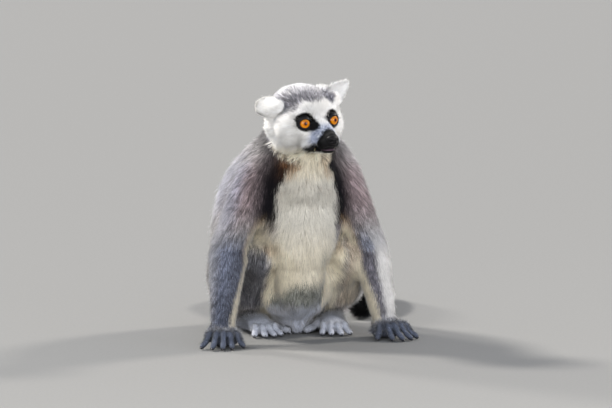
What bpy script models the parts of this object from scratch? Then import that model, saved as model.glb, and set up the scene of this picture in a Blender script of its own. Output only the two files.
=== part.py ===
"""Ring-tailed lemur, a still life-size model that sits hunched on its rump and hind feet.

The animal faces -Y and leans forward on two straight arms. Its head is turned to its left, and its tail lies on
the floor in a loop behind it. Z is up, the floor is Z = 0 and the origin is on the floor under the pelvis. All sizes are in
metres, and they are taken to the tips of the coat. Each body mass is a set of lofts and ellipsoids fused by a
voxel remesh, and it is then parted with thin cuts into the named pieces.
"""

import math

import bmesh
import bpy
import numpy as np
from mathutils import Matrix, Vector

# ---------------------------------------------------------------- driving dimensions
GAP = 0.0003  # left between neighbouring pieces
PALM_LENGTH = 0.022
FINGER_REACH = 0.029  # over the floor from the knuckle of the longest finger to its tip
KNUCKLE_HEIGHT = 0.0165
SOLE_LENGTH = 0.066  # heel to the roots of the toes
TOE_LENGTH = 0.027
EYE_RADIUS = 0.0086
EYE_SPACING = 0.0395  # between the two eye centres
EAR_LENGTH = 0.037
TAIL_RADIUS = 0.0225
TAIL_PIECES = 6

SIDES = {"right": -1, "left": 1}

# Joints that each side of the body places for itself.
SHOULDER = {"right": (-0.049, -0.092, 0.194), "left": (0.045, -0.088, 0.195)}
ELBOW = {"right": (-0.085, -0.098, 0.113), "left": (0.083, -0.080, 0.110)}
WRIST = {"right": (-0.096, -0.120, 0.027), "left": (0.100, -0.086, 0.027)}
HIP = {"right": (-0.042, 0.020, 0.060), "left": (0.044, 0.020, 0.060)}
KNEE = {"right": (-0.047, -0.084, 0.098), "left": (0.059, -0.076, 0.098)}
ANKLE = {"right": (-0.045, 0.002, 0.022), "left": (0.053, 0.002, 0.022)}
HAND_TURN = {"right": -12.0, "left": 17.0}  # degrees that the fingers point to the animal's left
FOOT_TURN = {"right": 10.0, "left": -6.0}

# The head's own frame has its origin between the ears' roots, X to the animal's left and -Y along the muzzle.
HEAD_CENTRE = (-0.0084, -0.165, 0.2708)
HEAD_YAW, HEAD_PITCH, HEAD_ROLL = 21.2, 1.5, -3.0  # degrees: turned left, nose down, left side up

# ---------------------------------------------------------------- scene and materials


def clear_scene():
    for leftover in list(bpy.data.objects):
        bpy.data.objects.remove(leftover)


def new_collection(name, helper=False):
    made = bpy.data.collections.new(name)
    bpy.context.scene.collection.children.link(made)
    made.hide_render = helper
    return made


def material(name, colour, roughness=0.85, metallic=0.0):
    made = bpy.data.materials.new(name)
    made.use_nodes = True
    shader = made.node_tree.nodes["Principled BSDF"]
    shader.inputs["Base Color"].default_value = (*colour, 1.0)
    shader.inputs["Roughness"].default_value = roughness
    shader.inputs["Metallic"].default_value = metallic
    made.diffuse_color = (*colour, 1.0)
    return made


# ---------------------------------------------------------------- shapes
# A station is (x, y, z, half width, half depth): the centre of an elliptical section and its two radii.


def smooth_stations(stations, per_span):
    """The stations joined by a Catmull-Rom curve, with per_span sections for each span."""
    rows = np.array(stations, float)
    ends = np.vstack([2 * rows[0] - rows[1], rows, 2 * rows[-1] - rows[-2]])
    ends[[0, -1], 3:] = rows[[0, -1], 3:]
    made = []
    for i in range(1, len(ends) - 2):
        p0, p1, p2, p3 = ends[i - 1 : i + 3]
        for t in np.arange(per_span) / per_span:
            made.append(
                0.5 * (2 * p1 + (p2 - p0) * t + (2 * p0 - 5 * p1 + 4 * p2 - p3) * t**2
                       + (3 * p1 - p0 - 3 * p2 + p3) * t**3)
            )
    made.append(rows[-1])
    return np.array(made)


def loft(stations, across=(1, 0, 0), per_span=4, sides=20, flat_ends=False):
    """A closed tube through elliptical stations. Half widths lie along across, and half depths square to it.
    Its ends are domes, or flat where flat_ends is set."""
    rows = smooth_stations(stations, per_span)
    centres = rows[:, :3]
    along = np.gradient(centres, axis=0)
    along /= np.linalg.norm(along, axis=1, keepdims=True)
    wide = np.array(across, float) - along * (along @ np.array(across, float))[:, None]
    wide /= np.linalg.norm(wide, axis=1, keepdims=True)
    deep = np.cross(along, wide)
    rings = [(c, w, d, 1.0) for c, w, d in zip(centres, wide * rows[:, 3:4], deep * rows[:, 4:5])]
    if not flat_ends:
        dome = ((0.5, 0.866), (0.85, 0.52))  # share of the end's radius ahead, and the section's share
        lead = 0.5 * (rows[[0, -1], 3] + rows[[0, -1], 4])
        first = [(centres[0] - along[0] * lead[0] * f, rings[0][1], rings[0][2], s) for f, s in reversed(dome)]
        last = [(centres[-1] + along[-1] * lead[1] * f, rings[-1][1], rings[-1][2], s) for f, s in dome]
        rings = first + rings + last
    shape = bmesh.new()
    loops = []
    for centre, w, d, size in rings:
        turns = [2 * math.pi * k / sides for k in range(sides)]
        loops.append([shape.verts.new(centre + size * (w * math.cos(t) + d * math.sin(t))) for t in turns])
    for low, high in zip(loops, loops[1:]):
        for k in range(sides):
            shape.faces.new((low[k], low[k - 1], high[k - 1], high[k]))
    shape.faces.new(loops[0])
    shape.faces.new(reversed(loops[-1]))
    bmesh.ops.recalc_face_normals(shape, faces=shape.faces)
    return shape


def blob(centre, radii, fine=(24, 14)):
    """An ellipsoid."""
    shape = bmesh.new()
    place = Matrix.Translation(centre) @ Matrix.Diagonal((*radii, 1.0))
    bmesh.ops.create_uvsphere(shape, u_segments=fine[0], v_segments=fine[1], radius=1.0, matrix=place)
    return shape


def moved(shape, matrix):
    """The shape taken by matrix, turned inside in again if the matrix mirrors it."""
    bmesh.ops.transform(shape, matrix=matrix, verts=shape.verts)
    if matrix.determinant() < 0:
        bmesh.ops.reverse_faces(shape, faces=shape.faces)
    return shape


def object_of(name, shape):
    mesh = bpy.data.meshes.new(name)
    shape.to_mesh(mesh)
    shape.free()
    made = bpy.data.objects.new(name, mesh)
    bpy.context.scene.collection.objects.link(made)
    return made


def baked(obj):
    """The object with its modifiers applied to its mesh."""
    bpy.context.view_layer.update()
    graph = bpy.context.evaluated_depsgraph_get()
    mesh = bpy.data.meshes.new_from_object(obj.evaluated_get(graph))
    old = obj.data
    obj.modifiers.clear()
    obj.data = mesh
    bpy.data.meshes.remove(old)
    return obj


def fused(name, shapes, voxel, smoothing, triangles):
    """One closed skin over all the shapes, smoothed where they meet and thinned to about so many triangles."""
    joined = bmesh.new()
    for shape in shapes:
        part = bpy.data.meshes.new("part")
        shape.to_mesh(part)
        shape.free()
        joined.from_mesh(part)
        bpy.data.meshes.remove(part)
    obj = object_of(name, joined)
    remesh = obj.modifiers.new("fuse", "REMESH")
    remesh.mode = "VOXEL"
    remesh.voxel_size = voxel
    smooth = obj.modifiers.new("blend", "SMOOTH")
    smooth.factor = 0.5
    smooth.iterations = smoothing
    baked(obj)
    obj.data.calc_loop_triangles()
    thin = obj.modifiers.new("thin", "DECIMATE")
    thin.ratio = min(1.0, triangles / len(obj.data.loop_triangles))
    thin.use_collapse_triangulate = True
    return largest_piece(baked(obj))


def largest_piece(obj):
    """The object without any crumbs that a cut has left beside its main body."""
    shape = bmesh.new()
    shape.from_mesh(obj.data)
    left = set(shape.verts)
    islands = []
    while left:
        island, edge = set(), [left.pop()]
        while edge:
            vertex = edge.pop()
            island.add(vertex)
            near = [e.other_vert(vertex) for e in vertex.link_edges]
            fresh = [v for v in near if v in left]
            left.difference_update(fresh)
            edge += fresh
        islands.append(island)
    islands.sort(key=len)
    crumbs = [v for island in islands[:-1] for v in island]
    bmesh.ops.delete(shape, geom=crumbs, context="VERTS")
    shape.to_mesh(obj.data)
    shape.free()
    return obj


def copy_of(obj, name):
    made = obj.copy()
    made.data = obj.data.copy()
    made.name = name
    bpy.context.scene.collection.objects.link(made)
    return made


def cut_by_plane(obj, point, normal):
    """Takes off what lies on the normal's side of the plane, and closes the cut."""
    shape = bmesh.new()
    shape.from_mesh(obj.data)
    every = shape.verts[:] + shape.edges[:] + shape.faces[:]
    cut = bmesh.ops.bisect_plane(
        shape, geom=every, dist=1e-6, plane_co=point, plane_no=normal, clear_outer=True
    )
    rim = [e for e in cut["geom_cut"] if isinstance(e, bmesh.types.BMEdge)]
    bmesh.ops.holes_fill(shape, edges=rim, sides=0)
    bmesh.ops.triangulate(shape, faces=[f for f in shape.faces if len(f.verts) > 4])
    bmesh.ops.dissolve_degenerate(shape, dist=1e-5, edges=shape.edges)
    bmesh.ops.recalc_face_normals(shape, faces=shape.faces)
    shape.to_mesh(obj.data)
    shape.free()
    return obj


def stood_on_floor(obj):
    """The object with a flat where it would reach below the floor."""
    return cut_by_plane(obj, (0, 0, 0), (0, 0, -1))


def split(obj, names, point, normal):
    """Two objects, the far side of the plane first, with the gap between them."""
    normal = Vector(normal).normalized()
    point = Vector(point)
    far, near = copy_of(obj, names[0]), copy_of(obj, names[1])
    cut_by_plane(far, point + normal * GAP / 2, -normal)
    cut_by_plane(near, point - normal * GAP / 2, normal)
    bpy.data.objects.remove(obj)
    return largest_piece(far), largest_piece(near)


def swollen(obj, by):
    """A copy grown by a distance along its normals, for use as a cutter."""
    cutter = copy_of(obj, obj.name + "_cutter")
    grow = cutter.modifiers.new("grow", "DISPLACE")
    grow.strength = by
    grow.mid_level = 0.0
    return baked(cutter)


def carved(obj, *others, gap=GAP):
    """The object with room made for each of the others."""
    for other in others:
        cutter = swollen(other, gap)
        cut = obj.modifiers.new("carve", "BOOLEAN")
        cut.operation = "DIFFERENCE"
        cut.solver = "EXACT"
        cut.object = cutter
        baked(obj)
        bpy.data.objects.remove(cutter)
        largest_piece(obj)
    return obj


def between(a, b, share):
    return Vector(a).lerp(Vector(b), share)


def station(point, half_width, half_depth=None):
    return (*point, half_width, half_width if half_depth is None else half_depth)


# ---------------------------------------------------------------- trunk and neck
SPINE = [  # from the seat up the hunched back to the throat
    (0.001, 0.042, 0.000, 0.064, 0.036),
    (0.001, 0.032, 0.034, 0.086, 0.050),
    (0.001, 0.012, 0.082, 0.091, 0.066),
    (0.000, -0.010, 0.128, 0.090, 0.071),
    (0.000, -0.044, 0.166, 0.086, 0.070),
    (-0.002, -0.080, 0.196, 0.073, 0.062),
    (-0.005, -0.112, 0.219, 0.051, 0.051),
    (-0.008, -0.142, 0.245, 0.037, 0.037),
]


def trunk_mass():
    return [
        loft(SPINE, per_span=5, sides=28),
        blob((0.001, -0.094, 0.145), (0.047, 0.037, 0.074)),  # breast
        blob((0.002, -0.044, 0.078), (0.054, 0.044, 0.062)),  # belly
        blob((0.003, -0.014, 0.019), (0.029, 0.044, 0.027)),  # between the thighs
        blob((-0.004, -0.130, 0.204), (0.032, 0.026, 0.036)),  # bib under the chin
    ]


def build_trunk(feet):
    trunk = stood_on_floor(fused("trunk", trunk_mass(), 0.0045, 8, 820))
    carved(trunk, *feet)
    upper, pelvis = split(trunk, ("upper", "pelvis"), (0, 0.020, 0.062), (0, -0.25, 0.97))
    upper, abdomen = split(upper, ("upper", "abdomen"), (0, -0.020, 0.135), (0, -0.52, 0.85))
    neck, chest = split(upper, ("neck", "chest"), (0, -0.110, 0.218), (0, -0.72, 0.69))
    return {"pelvis": pelvis, "abdomen": abdomen, "chest": chest, "neck": neck}


# ---------------------------------------------------------------- head


def head_frame():
    turn = (
        Matrix.Rotation(math.radians(HEAD_YAW), 4, "Z")
        @ Matrix.Rotation(math.radians(HEAD_PITCH), 4, "X")
        @ Matrix.Rotation(math.radians(HEAD_ROLL), 4, "Y")
    )
    return Matrix.Translation(HEAD_CENTRE) @ turn


def eye_centre(side):
    return Vector((side * EYE_SPACING / 2, -0.0235, -0.0060))


MUZZLE = [  # from the face to behind the nose
    (0, -0.016, -0.0090, 0.0200, 0.0180),
    (0, -0.032, -0.0160, 0.0160, 0.0142),
    (0, -0.044, -0.0212, 0.0124, 0.0116),
    (0, -0.0535, -0.0250, 0.0098, 0.0094),
]
JAW = [
    (0, -0.008, -0.0330, 0.0175, 0.0092),
    (0, -0.028, -0.0348, 0.0132, 0.0080),
    (0, -0.0490, -0.0350, 0.0082, 0.0058),
]


def head_mass():
    shapes = [
        blob((0, 0.010, 0.003), (0.0365, 0.0385, 0.0310)),  # braincase
        blob((0, -0.014, 0.005), (0.0265, 0.0200, 0.0200)),  # forehead
        blob((0, 0.002, -0.022), (0.0290, 0.0300, 0.0200)),  # throat
        blob((0, -0.022, -0.008), (0.0120, 0.0160, 0.0130)),  # bridge of the nose
        loft(MUZZLE[:3], per_span=4),
    ]
    for side in SIDES.values():
        shapes += [
            blob((side * 0.0235, -0.008, -0.0120), (0.0190, 0.0220, 0.0230)),  # cheek
            blob((side * 0.0240, 0.014, -0.0080), (0.0195, 0.0220, 0.0250)),  # ruff below the ear
            blob((side * 0.0180, 0.004, -0.0270), (0.0195, 0.0220, 0.0185)),  # jowl
            blob((side * 0.0175, -0.0185, 0.0050), (0.0125, 0.0110, 0.0090)),  # brow
            blob((side * 0.0165, -0.0200, -0.0140), (0.0120, 0.0130, 0.0100)),  # below the eye
        ]
    return shapes


def ear_shape(frame):
    """A furred ear: a broad leaf with its hollow to the front."""
    leaf = [
        (0, 0.002, -0.012, 0.0100, 0.0075),
        (0, 0.000, 0.002, 0.0135, 0.0068),
        (0, 0.001, 0.014, 0.0150, 0.0058),
        (0, 0.002, 0.024, 0.0120, 0.0046),
        (0, 0.001, EAR_LENGTH - 0.004, 0.0058, 0.0034),
    ]
    hollow = blob((0, -0.0065, 0.013), (0.0095, 0.0062, 0.0135))
    return moved(loft(leaf, per_span=5, sides=20), frame), moved(hollow, frame)


def ear_frame(root, tip, faces):
    """A frame at root with Z towards tip and -Y as near as it can be to faces."""
    up = (Vector(tip) - Vector(root)).normalized()
    back = -Vector(faces)
    back = (back - up * back.dot(up)).normalized()
    wide = back.cross(up)
    turn = Matrix((wide, back, up)).transposed().to_4x4()
    return Matrix.Translation(root) @ turn


EAR_FRAMES = {
    "left": ear_frame((0.0300, 0.008, 0.0100), (0.0640, 0.004, 0.0320), (0.20, -0.95, 0.1)),
    "right": ear_frame((-0.0250, 0.005, 0.0030), (-0.0450, 0.024, 0.0115), (-0.53, -0.85, 0.1)),
}


def build_head():
    frame = head_frame()
    made = {}
    for name, side in SIDES.items():
        ball = blob(eye_centre(side), (EYE_RADIUS,) * 3, fine=(12, 7))
        made["eye_" + name] = object_of("eye_" + name, moved(ball, frame))
    nose = fused(
        "nose",
        [
            moved(blob((0, -0.0580, -0.0245), (0.0070, 0.0052, 0.0060)), frame),
            moved(blob((0, -0.0540, -0.0208), (0.0054, 0.0062, 0.0042)), frame),
        ],
        0.0010, 2, 110,
    )
    snout = fused("muzzle", [moved(loft(MUZZLE, per_span=5), frame)], 0.0016, 2, 150)
    jaw = fused("jaw", [moved(loft(JAW, per_span=5), frame)], 0.0014, 2, 140)
    head = fused("head", [moved(s, frame) for s in head_mass()], 0.0026, 6, 620)
    face_plane = frame @ Vector((0, -0.0330, -0.016))
    forward = frame.to_3x3() @ Vector((0, -0.93, -0.36))
    carved(snout, nose)
    muzzle = cut_by_plane(snout, face_plane + forward * GAP, -forward)
    head = cut_by_plane(head, face_plane, forward)
    carved(head, made["eye_left"], made["eye_right"])
    carved(jaw, head, muzzle, nose)
    made |= {"nose": nose, "muzzle": muzzle, "jaw": jaw, "head": head}
    for name, place in EAR_FRAMES.items():
        leaf, hollow = ear_shape(frame @ place)
        ear = fused("ear_" + name, [leaf], 0.0014, 2, 150)
        dish = object_of("dish", hollow)
        made["ear_" + name] = carved(ear, dish, head, gap=GAP)
        bpy.data.objects.remove(dish)
    return made


# ---------------------------------------------------------------- arms and hands
FINGERS = (  # degrees outwards of straight ahead, share of the longest finger, and the knuckle's place across
    (-38.0, 0.74, -0.0115),
    (-10.0, 0.90, -0.0075),
    (1.0, 1.00, -0.0020),
    (12.0, 1.00, 0.0045),
    (30.0, 0.86, 0.0105),
)
FINGER_RADIUS = 0.0038


def finger_loft(knuckle, heading, length, radius, arch):
    """A bent finger or toe: from its knuckle it rises a little, comes down, and lies on its pad."""
    ahead = Vector((math.sin(heading), -math.cos(heading), 0))
    knuckle = Vector(knuckle)
    rest = radius * 0.86  # the height of a pad's centre over the floor
    steps = ((0.0, 0.0, 1.10), (0.34, arch, 1.0), (0.72, -0.15 * arch, 0.92), (1.0, 0.0, 0.98))
    stations = []
    for share, lift, size in steps:
        height = knuckle.z + (rest - knuckle.z) * share**1.3 + lift
        point = Vector((knuckle.x, knuckle.y, 0)) + ahead * length * share
        stations.append((point.x, point.y, max(height, rest), radius * size, radius * size))
    across = (math.cos(heading), math.sin(heading), 0)
    return loft(stations, across=across, per_span=4, sides=12)


def hand_mass(side):
    """In the hand's own frame: the wrist over the origin, the fingers along -Y, the outer side towards +X * side."""
    shapes = [
        loft([
            (0, 0.003, 0.048, 0.0152, 0.0144),
            (0, 0.002, 0.032, 0.0148, 0.0134),
            (0, -0.002, 0.019, 0.0155, 0.0128),
            (0, -0.009, 0.0110, 0.0160, 0.0120),
        ]),
        blob((0, -0.010, 0.0095), (0.0165, 0.0150, 0.0105)),
        blob((side * 0.001, -0.0165, 0.0125), (0.0165, 0.0095, 0.0082)),
        blob((-side * 0.010, -0.006, 0.0070), (0.0075, 0.0095, 0.0075)),  # the thumb's root
    ]
    for angle, share, across in FINGERS:
        back = 0.008 if angle < -30 else 0.40 * abs(across)
        knuckle = (side * across, -PALM_LENGTH + back, KNUCKLE_HEIGHT - 0.16 * abs(across))
        heading = side * math.radians(angle)
        shapes.append(finger_loft(knuckle, heading, FINGER_REACH * share, FINGER_RADIUS, 0.0040))
    return shapes


def build_arm(name, side, trunk):
    shoulder, wrist = Vector(SHOULDER[name]), Vector(WRIST[name])
    elbow = Vector(ELBOW[name])
    below = between(elbow, wrist, 1.12)
    stations = [
        station(between(shoulder, elbow, -0.14), 0.0220, 0.0260),
        station(shoulder, 0.0265, 0.0330),
        station(between(shoulder, elbow, 0.40), 0.0255, 0.0300),
        station(between(shoulder, elbow, 0.80), 0.0225, 0.0250),
        station(elbow, 0.0222, 0.0236),
        station(between(elbow, wrist, 0.28), 0.0222, 0.0226),
        station(between(elbow, wrist, 0.66), 0.0184, 0.0185),
        station(wrist, 0.0154, 0.0150),
        station(below, 0.0146, 0.0142),
    ]
    limb = fused("arm_" + name, [loft(stations, across=(1, 0, 0), per_span=4, sides=18)], 0.0034, 3, 340)
    place = Matrix.Translation((wrist.x, wrist.y, 0)) @ Matrix.Rotation(math.radians(HAND_TURN[name]), 4, "Z")
    hand = fused("hand_" + name, [moved(s, place) for s in hand_mass(side)], 0.0013, 1, 520)
    hand = stood_on_floor(hand)
    along = (wrist - elbow).normalized()
    cuff = between(elbow, wrist, 0.97)
    cut_by_plane(hand, cuff + along * GAP, -along)
    cut_by_plane(limb, cuff, along)
    largest_piece(hand)
    forearm, upper = split(limb, ("forearm_" + name, "upper_arm_" + name), elbow, wrist - shoulder)
    carved(upper, *trunk)
    carved(forearm, *trunk)
    return {"upper_arm_" + name: upper, "forearm_" + name: forearm, "hand_" + name: hand}


# ---------------------------------------------------------------- legs and feet
TOES = (  # degrees outwards, share of the longest toe, and the root's place across
    (-12.0, 0.84, -0.0100),
    (-2.0, 0.95, -0.0035),
    (8.0, 1.00, 0.0035),
    (20.0, 0.88, 0.0100),
)
TOE_RADIUS = 0.0042
ANKLE_CUT = 0.031  # the height where the foot meets the shin
BIG_TOE = {"heading": -42.0, "length": 0.034, "radius": 0.0056}


def foot_mass(side):
    """In the foot's own frame: the ankle over the origin, the toes along -Y, the outer side towards +X * side."""
    heel = 0.012
    ball = heel - SOLE_LENGTH
    shapes = [
        loft([
            (0, heel, 0.0085, 0.0090, 0.0080),
            (0, heel - 0.020, 0.0110, 0.0120, 0.0110),
            (0, ball + 0.018, 0.0120, 0.0155, 0.0105),
            (0, ball, 0.0085, 0.0165, 0.0085),
        ]),
        loft([(0, 0.002, 0.034, 0.0135, 0.0150), (0, -0.002, 0.012, 0.0125, 0.0150)]),
    ]
    for angle, share, across in TOES:
        root = (side * across, ball + 0.3 * abs(across), 0.0100)
        shapes.append(finger_loft(root, side * math.radians(angle), TOE_LENGTH * share, TOE_RADIUS, 0.0035))
    root = (-side * 0.0085, ball + 0.026, 0.0100)
    heading = side * math.radians(BIG_TOE["heading"])
    shapes.append(finger_loft(root, heading, BIG_TOE["length"], BIG_TOE["radius"], 0.0020))
    return shapes


def foot_frame(name):
    turn = Matrix.Rotation(math.radians(FOOT_TURN[name]), 4, "Z")
    return Matrix.Translation((ANKLE[name][0], ANKLE[name][1], 0)) @ turn


def build_foot(name):
    shapes = [moved(shape, foot_frame(name)) for shape in foot_mass(SIDES[name])]
    foot = fused("foot_" + name, shapes, 0.0014, 1, 460)
    stood_on_floor(foot)
    return cut_by_plane(foot, (0, 0, ANKLE_CUT), (0, 0, 1))



def build_leg(name, foot, trunk):
    """The thigh and shin, with room for the foot and for the trunk that they are pressed against."""
    hip, ankle, side = Vector(HIP[name]), Vector(ANKLE[name]), SIDES[name]
    knee = Vector(KNEE[name])
    thigh = [
        station(between(hip, knee, -0.20) - Vector((side * 0.004, 0, 0.004)), 0.0360, 0.0380),
        station(hip + Vector((side * 0.001, 0, 0)), 0.0475, 0.0510),
        station(between(hip, knee, 0.34) + Vector((side * 0.006, 0, -0.004)), 0.0440, 0.0470),
        station(between(hip, knee, 0.70) + Vector((side * 0.003, 0, 0)), 0.0315, 0.0330),
        station(knee, 0.0235, 0.0240),
    ]
    shin = [
        station(knee, 0.0235, 0.0235),
        station(between(knee, ankle, 0.26), 0.0235, 0.0230),
        station(between(knee, ankle, 0.62), 0.0190, 0.0185),
        station(ankle, 0.0140, 0.0150),
    ]
    shapes = [loft(thigh, per_span=5, sides=24), loft(shin, per_span=4)]
    limb = stood_on_floor(fused("leg_" + name, shapes, 0.0034, 3, 460))
    outwards = (hip - knee).normalized() - (ankle - knee).normalized()
    thigh_part, shin_part = split(limb, ("thigh_" + name, "shin_" + name), knee, outwards)
    cut_by_plane(shin_part, (0, 0, ANKLE_CUT + GAP), (0, 0, -1))
    carved(shin_part, *trunk)
    carved(thigh_part, foot, *trunk)
    return {"thigh_" + name: thigh_part, "shin_" + name: shin_part}


# ---------------------------------------------------------------- tail
TAIL_ROUTE = [  # (x, y, height over where it would lie): back from the rump, round, and forwards to the left hip
    (0.000, 0.066, 0.029),
    (-0.008, 0.108, 0.010),
    (-0.022, 0.154, 0.0),
    (-0.022, 0.210, 0.0),
    (0.004, 0.262, 0.0),
    (0.054, 0.292, 0.0),
    (0.110, 0.286, 0.0),
    (0.146, 0.242, 0.0),
    (0.145, 0.184, 0.0),
    (0.129, 0.126, 0.0),
    (0.107, 0.074, 0.0),
]


def tail_radius(share):
    """Fuller in its outer half than at its root, and blunt at its tip."""
    return TAIL_RADIUS * (0.76 + 0.24 * math.sin(math.pi * min(share * 1.2, 1.0) * 0.5) - 0.20 * share**10)


def build_tail(pelvis, neighbours):
    stations = []
    for i, (x, y, lift) in enumerate(TAIL_ROUTE):
        radius = tail_radius(i / (len(TAIL_ROUTE) - 1))
        stations.append((x, y, 0.95 * radius + lift, radius, radius))
    rows = smooth_stations(stations, 3)
    made = {}
    steps = np.linspace(0, len(rows) - 1, TAIL_PIECES + 1).round().astype(int)
    for number, (start, end) in enumerate(zip(steps, steps[1:]), 1):
        reach = rows[max(start - 1, 0) : end + 2]  # one section past each cut
        name = f"tail_{number}"
        piece = object_of(name, loft(reach, across=(0, 0, 1), per_span=1, sides=12, flat_ends=number < TAIL_PIECES))
        for at, way in ((start, -1), (end, 1)):
            if 0 < at < len(rows) - 1:
                heading = Vector(rows[at + 1, :3] - rows[at - 1, :3]).normalized() * way
                cut_by_plane(piece, Vector(rows[at, :3]) - heading * GAP / 2, heading)
        stood_on_floor(piece)
        if number == 1:
            carved(piece, pelvis)
        if number == TAIL_PIECES:
            carved(piece, *neighbours)
        made[name] = piece
    return made


# ---------------------------------------------------------------- the whole animal


def finish(nodes, collection, materials):
    """Puts each node in the collection with its material and its smooth shading."""
    for name, obj in nodes.items():
        obj.name = name
        obj.data.name = name
        for holder in list(obj.users_collection):
            holder.objects.unlink(obj)
        collection.objects.link(obj)
        obj.data.materials.clear()
        obj.data.materials.append(materials[name.split("_")[0]])
        obj.data.shade_smooth()
        obj.data.set_sharp_from_angle(angle=math.radians(50))


def main():
    clear_scene()
    animal = new_collection("ring_tailed_lemur")
    grey = material("grey_coat", (0.32, 0.31, 0.32))
    brown = material("grey_brown_coat", (0.36, 0.31, 0.28))
    white = material("white_coat", (0.80, 0.77, 0.70))
    dark = material("dark_bare_skin", (0.03, 0.03, 0.035), roughness=0.45)
    eye = material("amber_eye", (0.80, 0.32, 0.03), roughness=0.1)
    fingers = material("grey_hands", (0.30, 0.31, 0.34))
    ringed = material("ringed_tail", (0.40, 0.39, 0.38))

    head = build_head()
    feet = {"foot_" + name: build_foot(name) for name in SIDES}
    trunk = build_trunk(list(feet.values()))
    carved(trunk["neck"], head["head"], head["jaw"])
    carved(trunk["chest"], head["head"], head["jaw"])
    nodes = head | feet | trunk
    for name, side in SIDES.items():
        arm = build_arm(name, side, list(trunk.values()))
        leg = build_leg(name, feet["foot_" + name], list(trunk.values()))
        carved(leg["thigh_" + name], *arm.values())
        carved(leg["shin_" + name], *arm.values())
        nodes |= arm | leg
    nodes |= build_tail(trunk["pelvis"], [trunk["pelvis"], nodes["thigh_left"]])

    looks = {
        "pelvis": grey, "abdomen": brown, "chest": white, "neck": white, "head": white, "muzzle": dark,
        "nose": dark, "jaw": dark, "ear": white, "eye": eye, "upper": brown, "forearm": grey,
        "hand": fingers, "thigh": grey, "shin": grey, "foot": fingers, "tail": ringed,
    }
    finish(nodes, animal, looks)


main()
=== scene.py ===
"""The looks of a life-size ring-tailed lemur that sits hunched on its rump with its head turned to its left.

One skin stands for the solids of flesh and lies inside them by the coat's depth. Tufts of fur grow from it
and reach the solids' outer shape. The eyes, lids, nose, lips, teeth, whiskers and nails are pieces of their
own.
Lengths are in metres. The head's own frame has X to the animal's left, -Y along the muzzle and Z up.
"""

import math
from types import SimpleNamespace

import bmesh
import bpy
import numpy as np
from mathutils import Matrix, Vector
from mathutils.bvhtree import BVHTree
from mathutils.kdtree import KDTree


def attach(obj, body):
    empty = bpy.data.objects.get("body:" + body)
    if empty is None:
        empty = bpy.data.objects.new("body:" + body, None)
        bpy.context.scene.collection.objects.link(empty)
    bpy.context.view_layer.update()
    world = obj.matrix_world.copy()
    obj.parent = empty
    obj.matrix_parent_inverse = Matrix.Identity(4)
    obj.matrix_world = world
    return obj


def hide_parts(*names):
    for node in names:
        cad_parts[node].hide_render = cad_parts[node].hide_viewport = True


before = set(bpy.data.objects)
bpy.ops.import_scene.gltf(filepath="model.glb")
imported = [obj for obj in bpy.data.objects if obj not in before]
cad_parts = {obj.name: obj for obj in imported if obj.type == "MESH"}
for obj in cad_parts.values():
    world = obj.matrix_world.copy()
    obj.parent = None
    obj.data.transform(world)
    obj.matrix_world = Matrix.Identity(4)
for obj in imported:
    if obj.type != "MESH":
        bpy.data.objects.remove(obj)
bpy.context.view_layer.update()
rng = np.random.default_rng(7)
MM = 0.001

# ---------------------------------------------------------------- the animal's own places
HEAD_CENTRE = (-0.0084, -0.165, 0.2708)
HEAD_YAW, HEAD_PITCH, HEAD_ROLL = 21.2, 1.5, -3.0
SIDES = {"right": -1, "left": 1}
SHOULDER = {"right": (-0.049, -0.092, 0.194), "left": (0.045, -0.088, 0.195)}
ELBOW = {"right": (-0.085, -0.098, 0.113), "left": (0.083, -0.080, 0.110)}
WRIST = {"right": (-0.096, -0.120, 0.027), "left": (0.100, -0.086, 0.027)}
HIP = {"right": (-0.042, 0.020, 0.060), "left": (0.044, 0.020, 0.060)}
KNEE = {"right": (-0.047, -0.084, 0.098), "left": (0.059, -0.076, 0.098)}
ANKLE = {"right": (-0.045, 0.002, 0.022), "left": (0.053, 0.002, 0.022)}
HAND_TURN = {"right": -12.0, "left": 17.0}
FOOT_TURN = {"right": 10.0, "left": -6.0}
TAIL_RADIUS = 0.0225
TAIL_ROUTE = [  # (x, y, height over where it would lie)
    (0.000, 0.066, 0.029), (-0.008, 0.108, 0.010), (-0.022, 0.154, 0.0), (-0.022, 0.210, 0.0),
    (0.004, 0.262, 0.0), (0.054, 0.292, 0.0), (0.110, 0.286, 0.0), (0.146, 0.242, 0.0),
    (0.145, 0.184, 0.0), (0.129, 0.126, 0.0), (0.107, 0.074, 0.0),
]
# The splay is how far each eye looks outwards, in degrees
EYE_RADIUS, EYE_SPACING, EYE_SPLAY = 0.0086, 0.0362, 12.5

BODY_NODES = (
    ["pelvis", "abdomen", "chest", "neck"]
    + [f"{part}_{side}" for part in ("upper_arm", "forearm", "thigh", "shin") for side in SIDES]
    + [f"tail_{i}" for i in range(1, 7)]
)
HEAD_NODES = ["head", "muzzle", "jaw", "ear_left", "ear_right"]
LIMB_ENDS = [f"{part}_{side}" for part in ("hand", "foot") for side in SIDES]

# How finely the body, the head and the whole skin are fused, and how many triangles a mesh may have
BODY_GRAIN, HEAD_GRAIN, SKIN_GRAIN = 0.0022, 0.0015, 0.00115
SKIN_TRIANGLES, PIECE_TRIANGLES = 150000, 190000
# What every number of tufts is multiplied by, in the finished coat and in a quick one
FULL_COAT, QUICK_COAT = 0.94, 0.12
# The skin stays this far over the floor, and points nearer to each other than the next are one
LOWEST_SKIN, SAME_POINT = 0.0004, 1e-6
# A tuft is the ear's own where the ear's share is over the first, and the head's or a paw's over the second
EAR_EDGE, HALF = 0.2, 0.5


def head_frame():
    turn = (
        Matrix.Rotation(math.radians(HEAD_YAW), 4, "Z")
        @ Matrix.Rotation(math.radians(HEAD_PITCH), 4, "X")
        @ Matrix.Rotation(math.radians(HEAD_ROLL), 4, "Y")
    )
    return Matrix.Translation(HEAD_CENTRE) @ turn


HEAD = head_frame()


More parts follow.
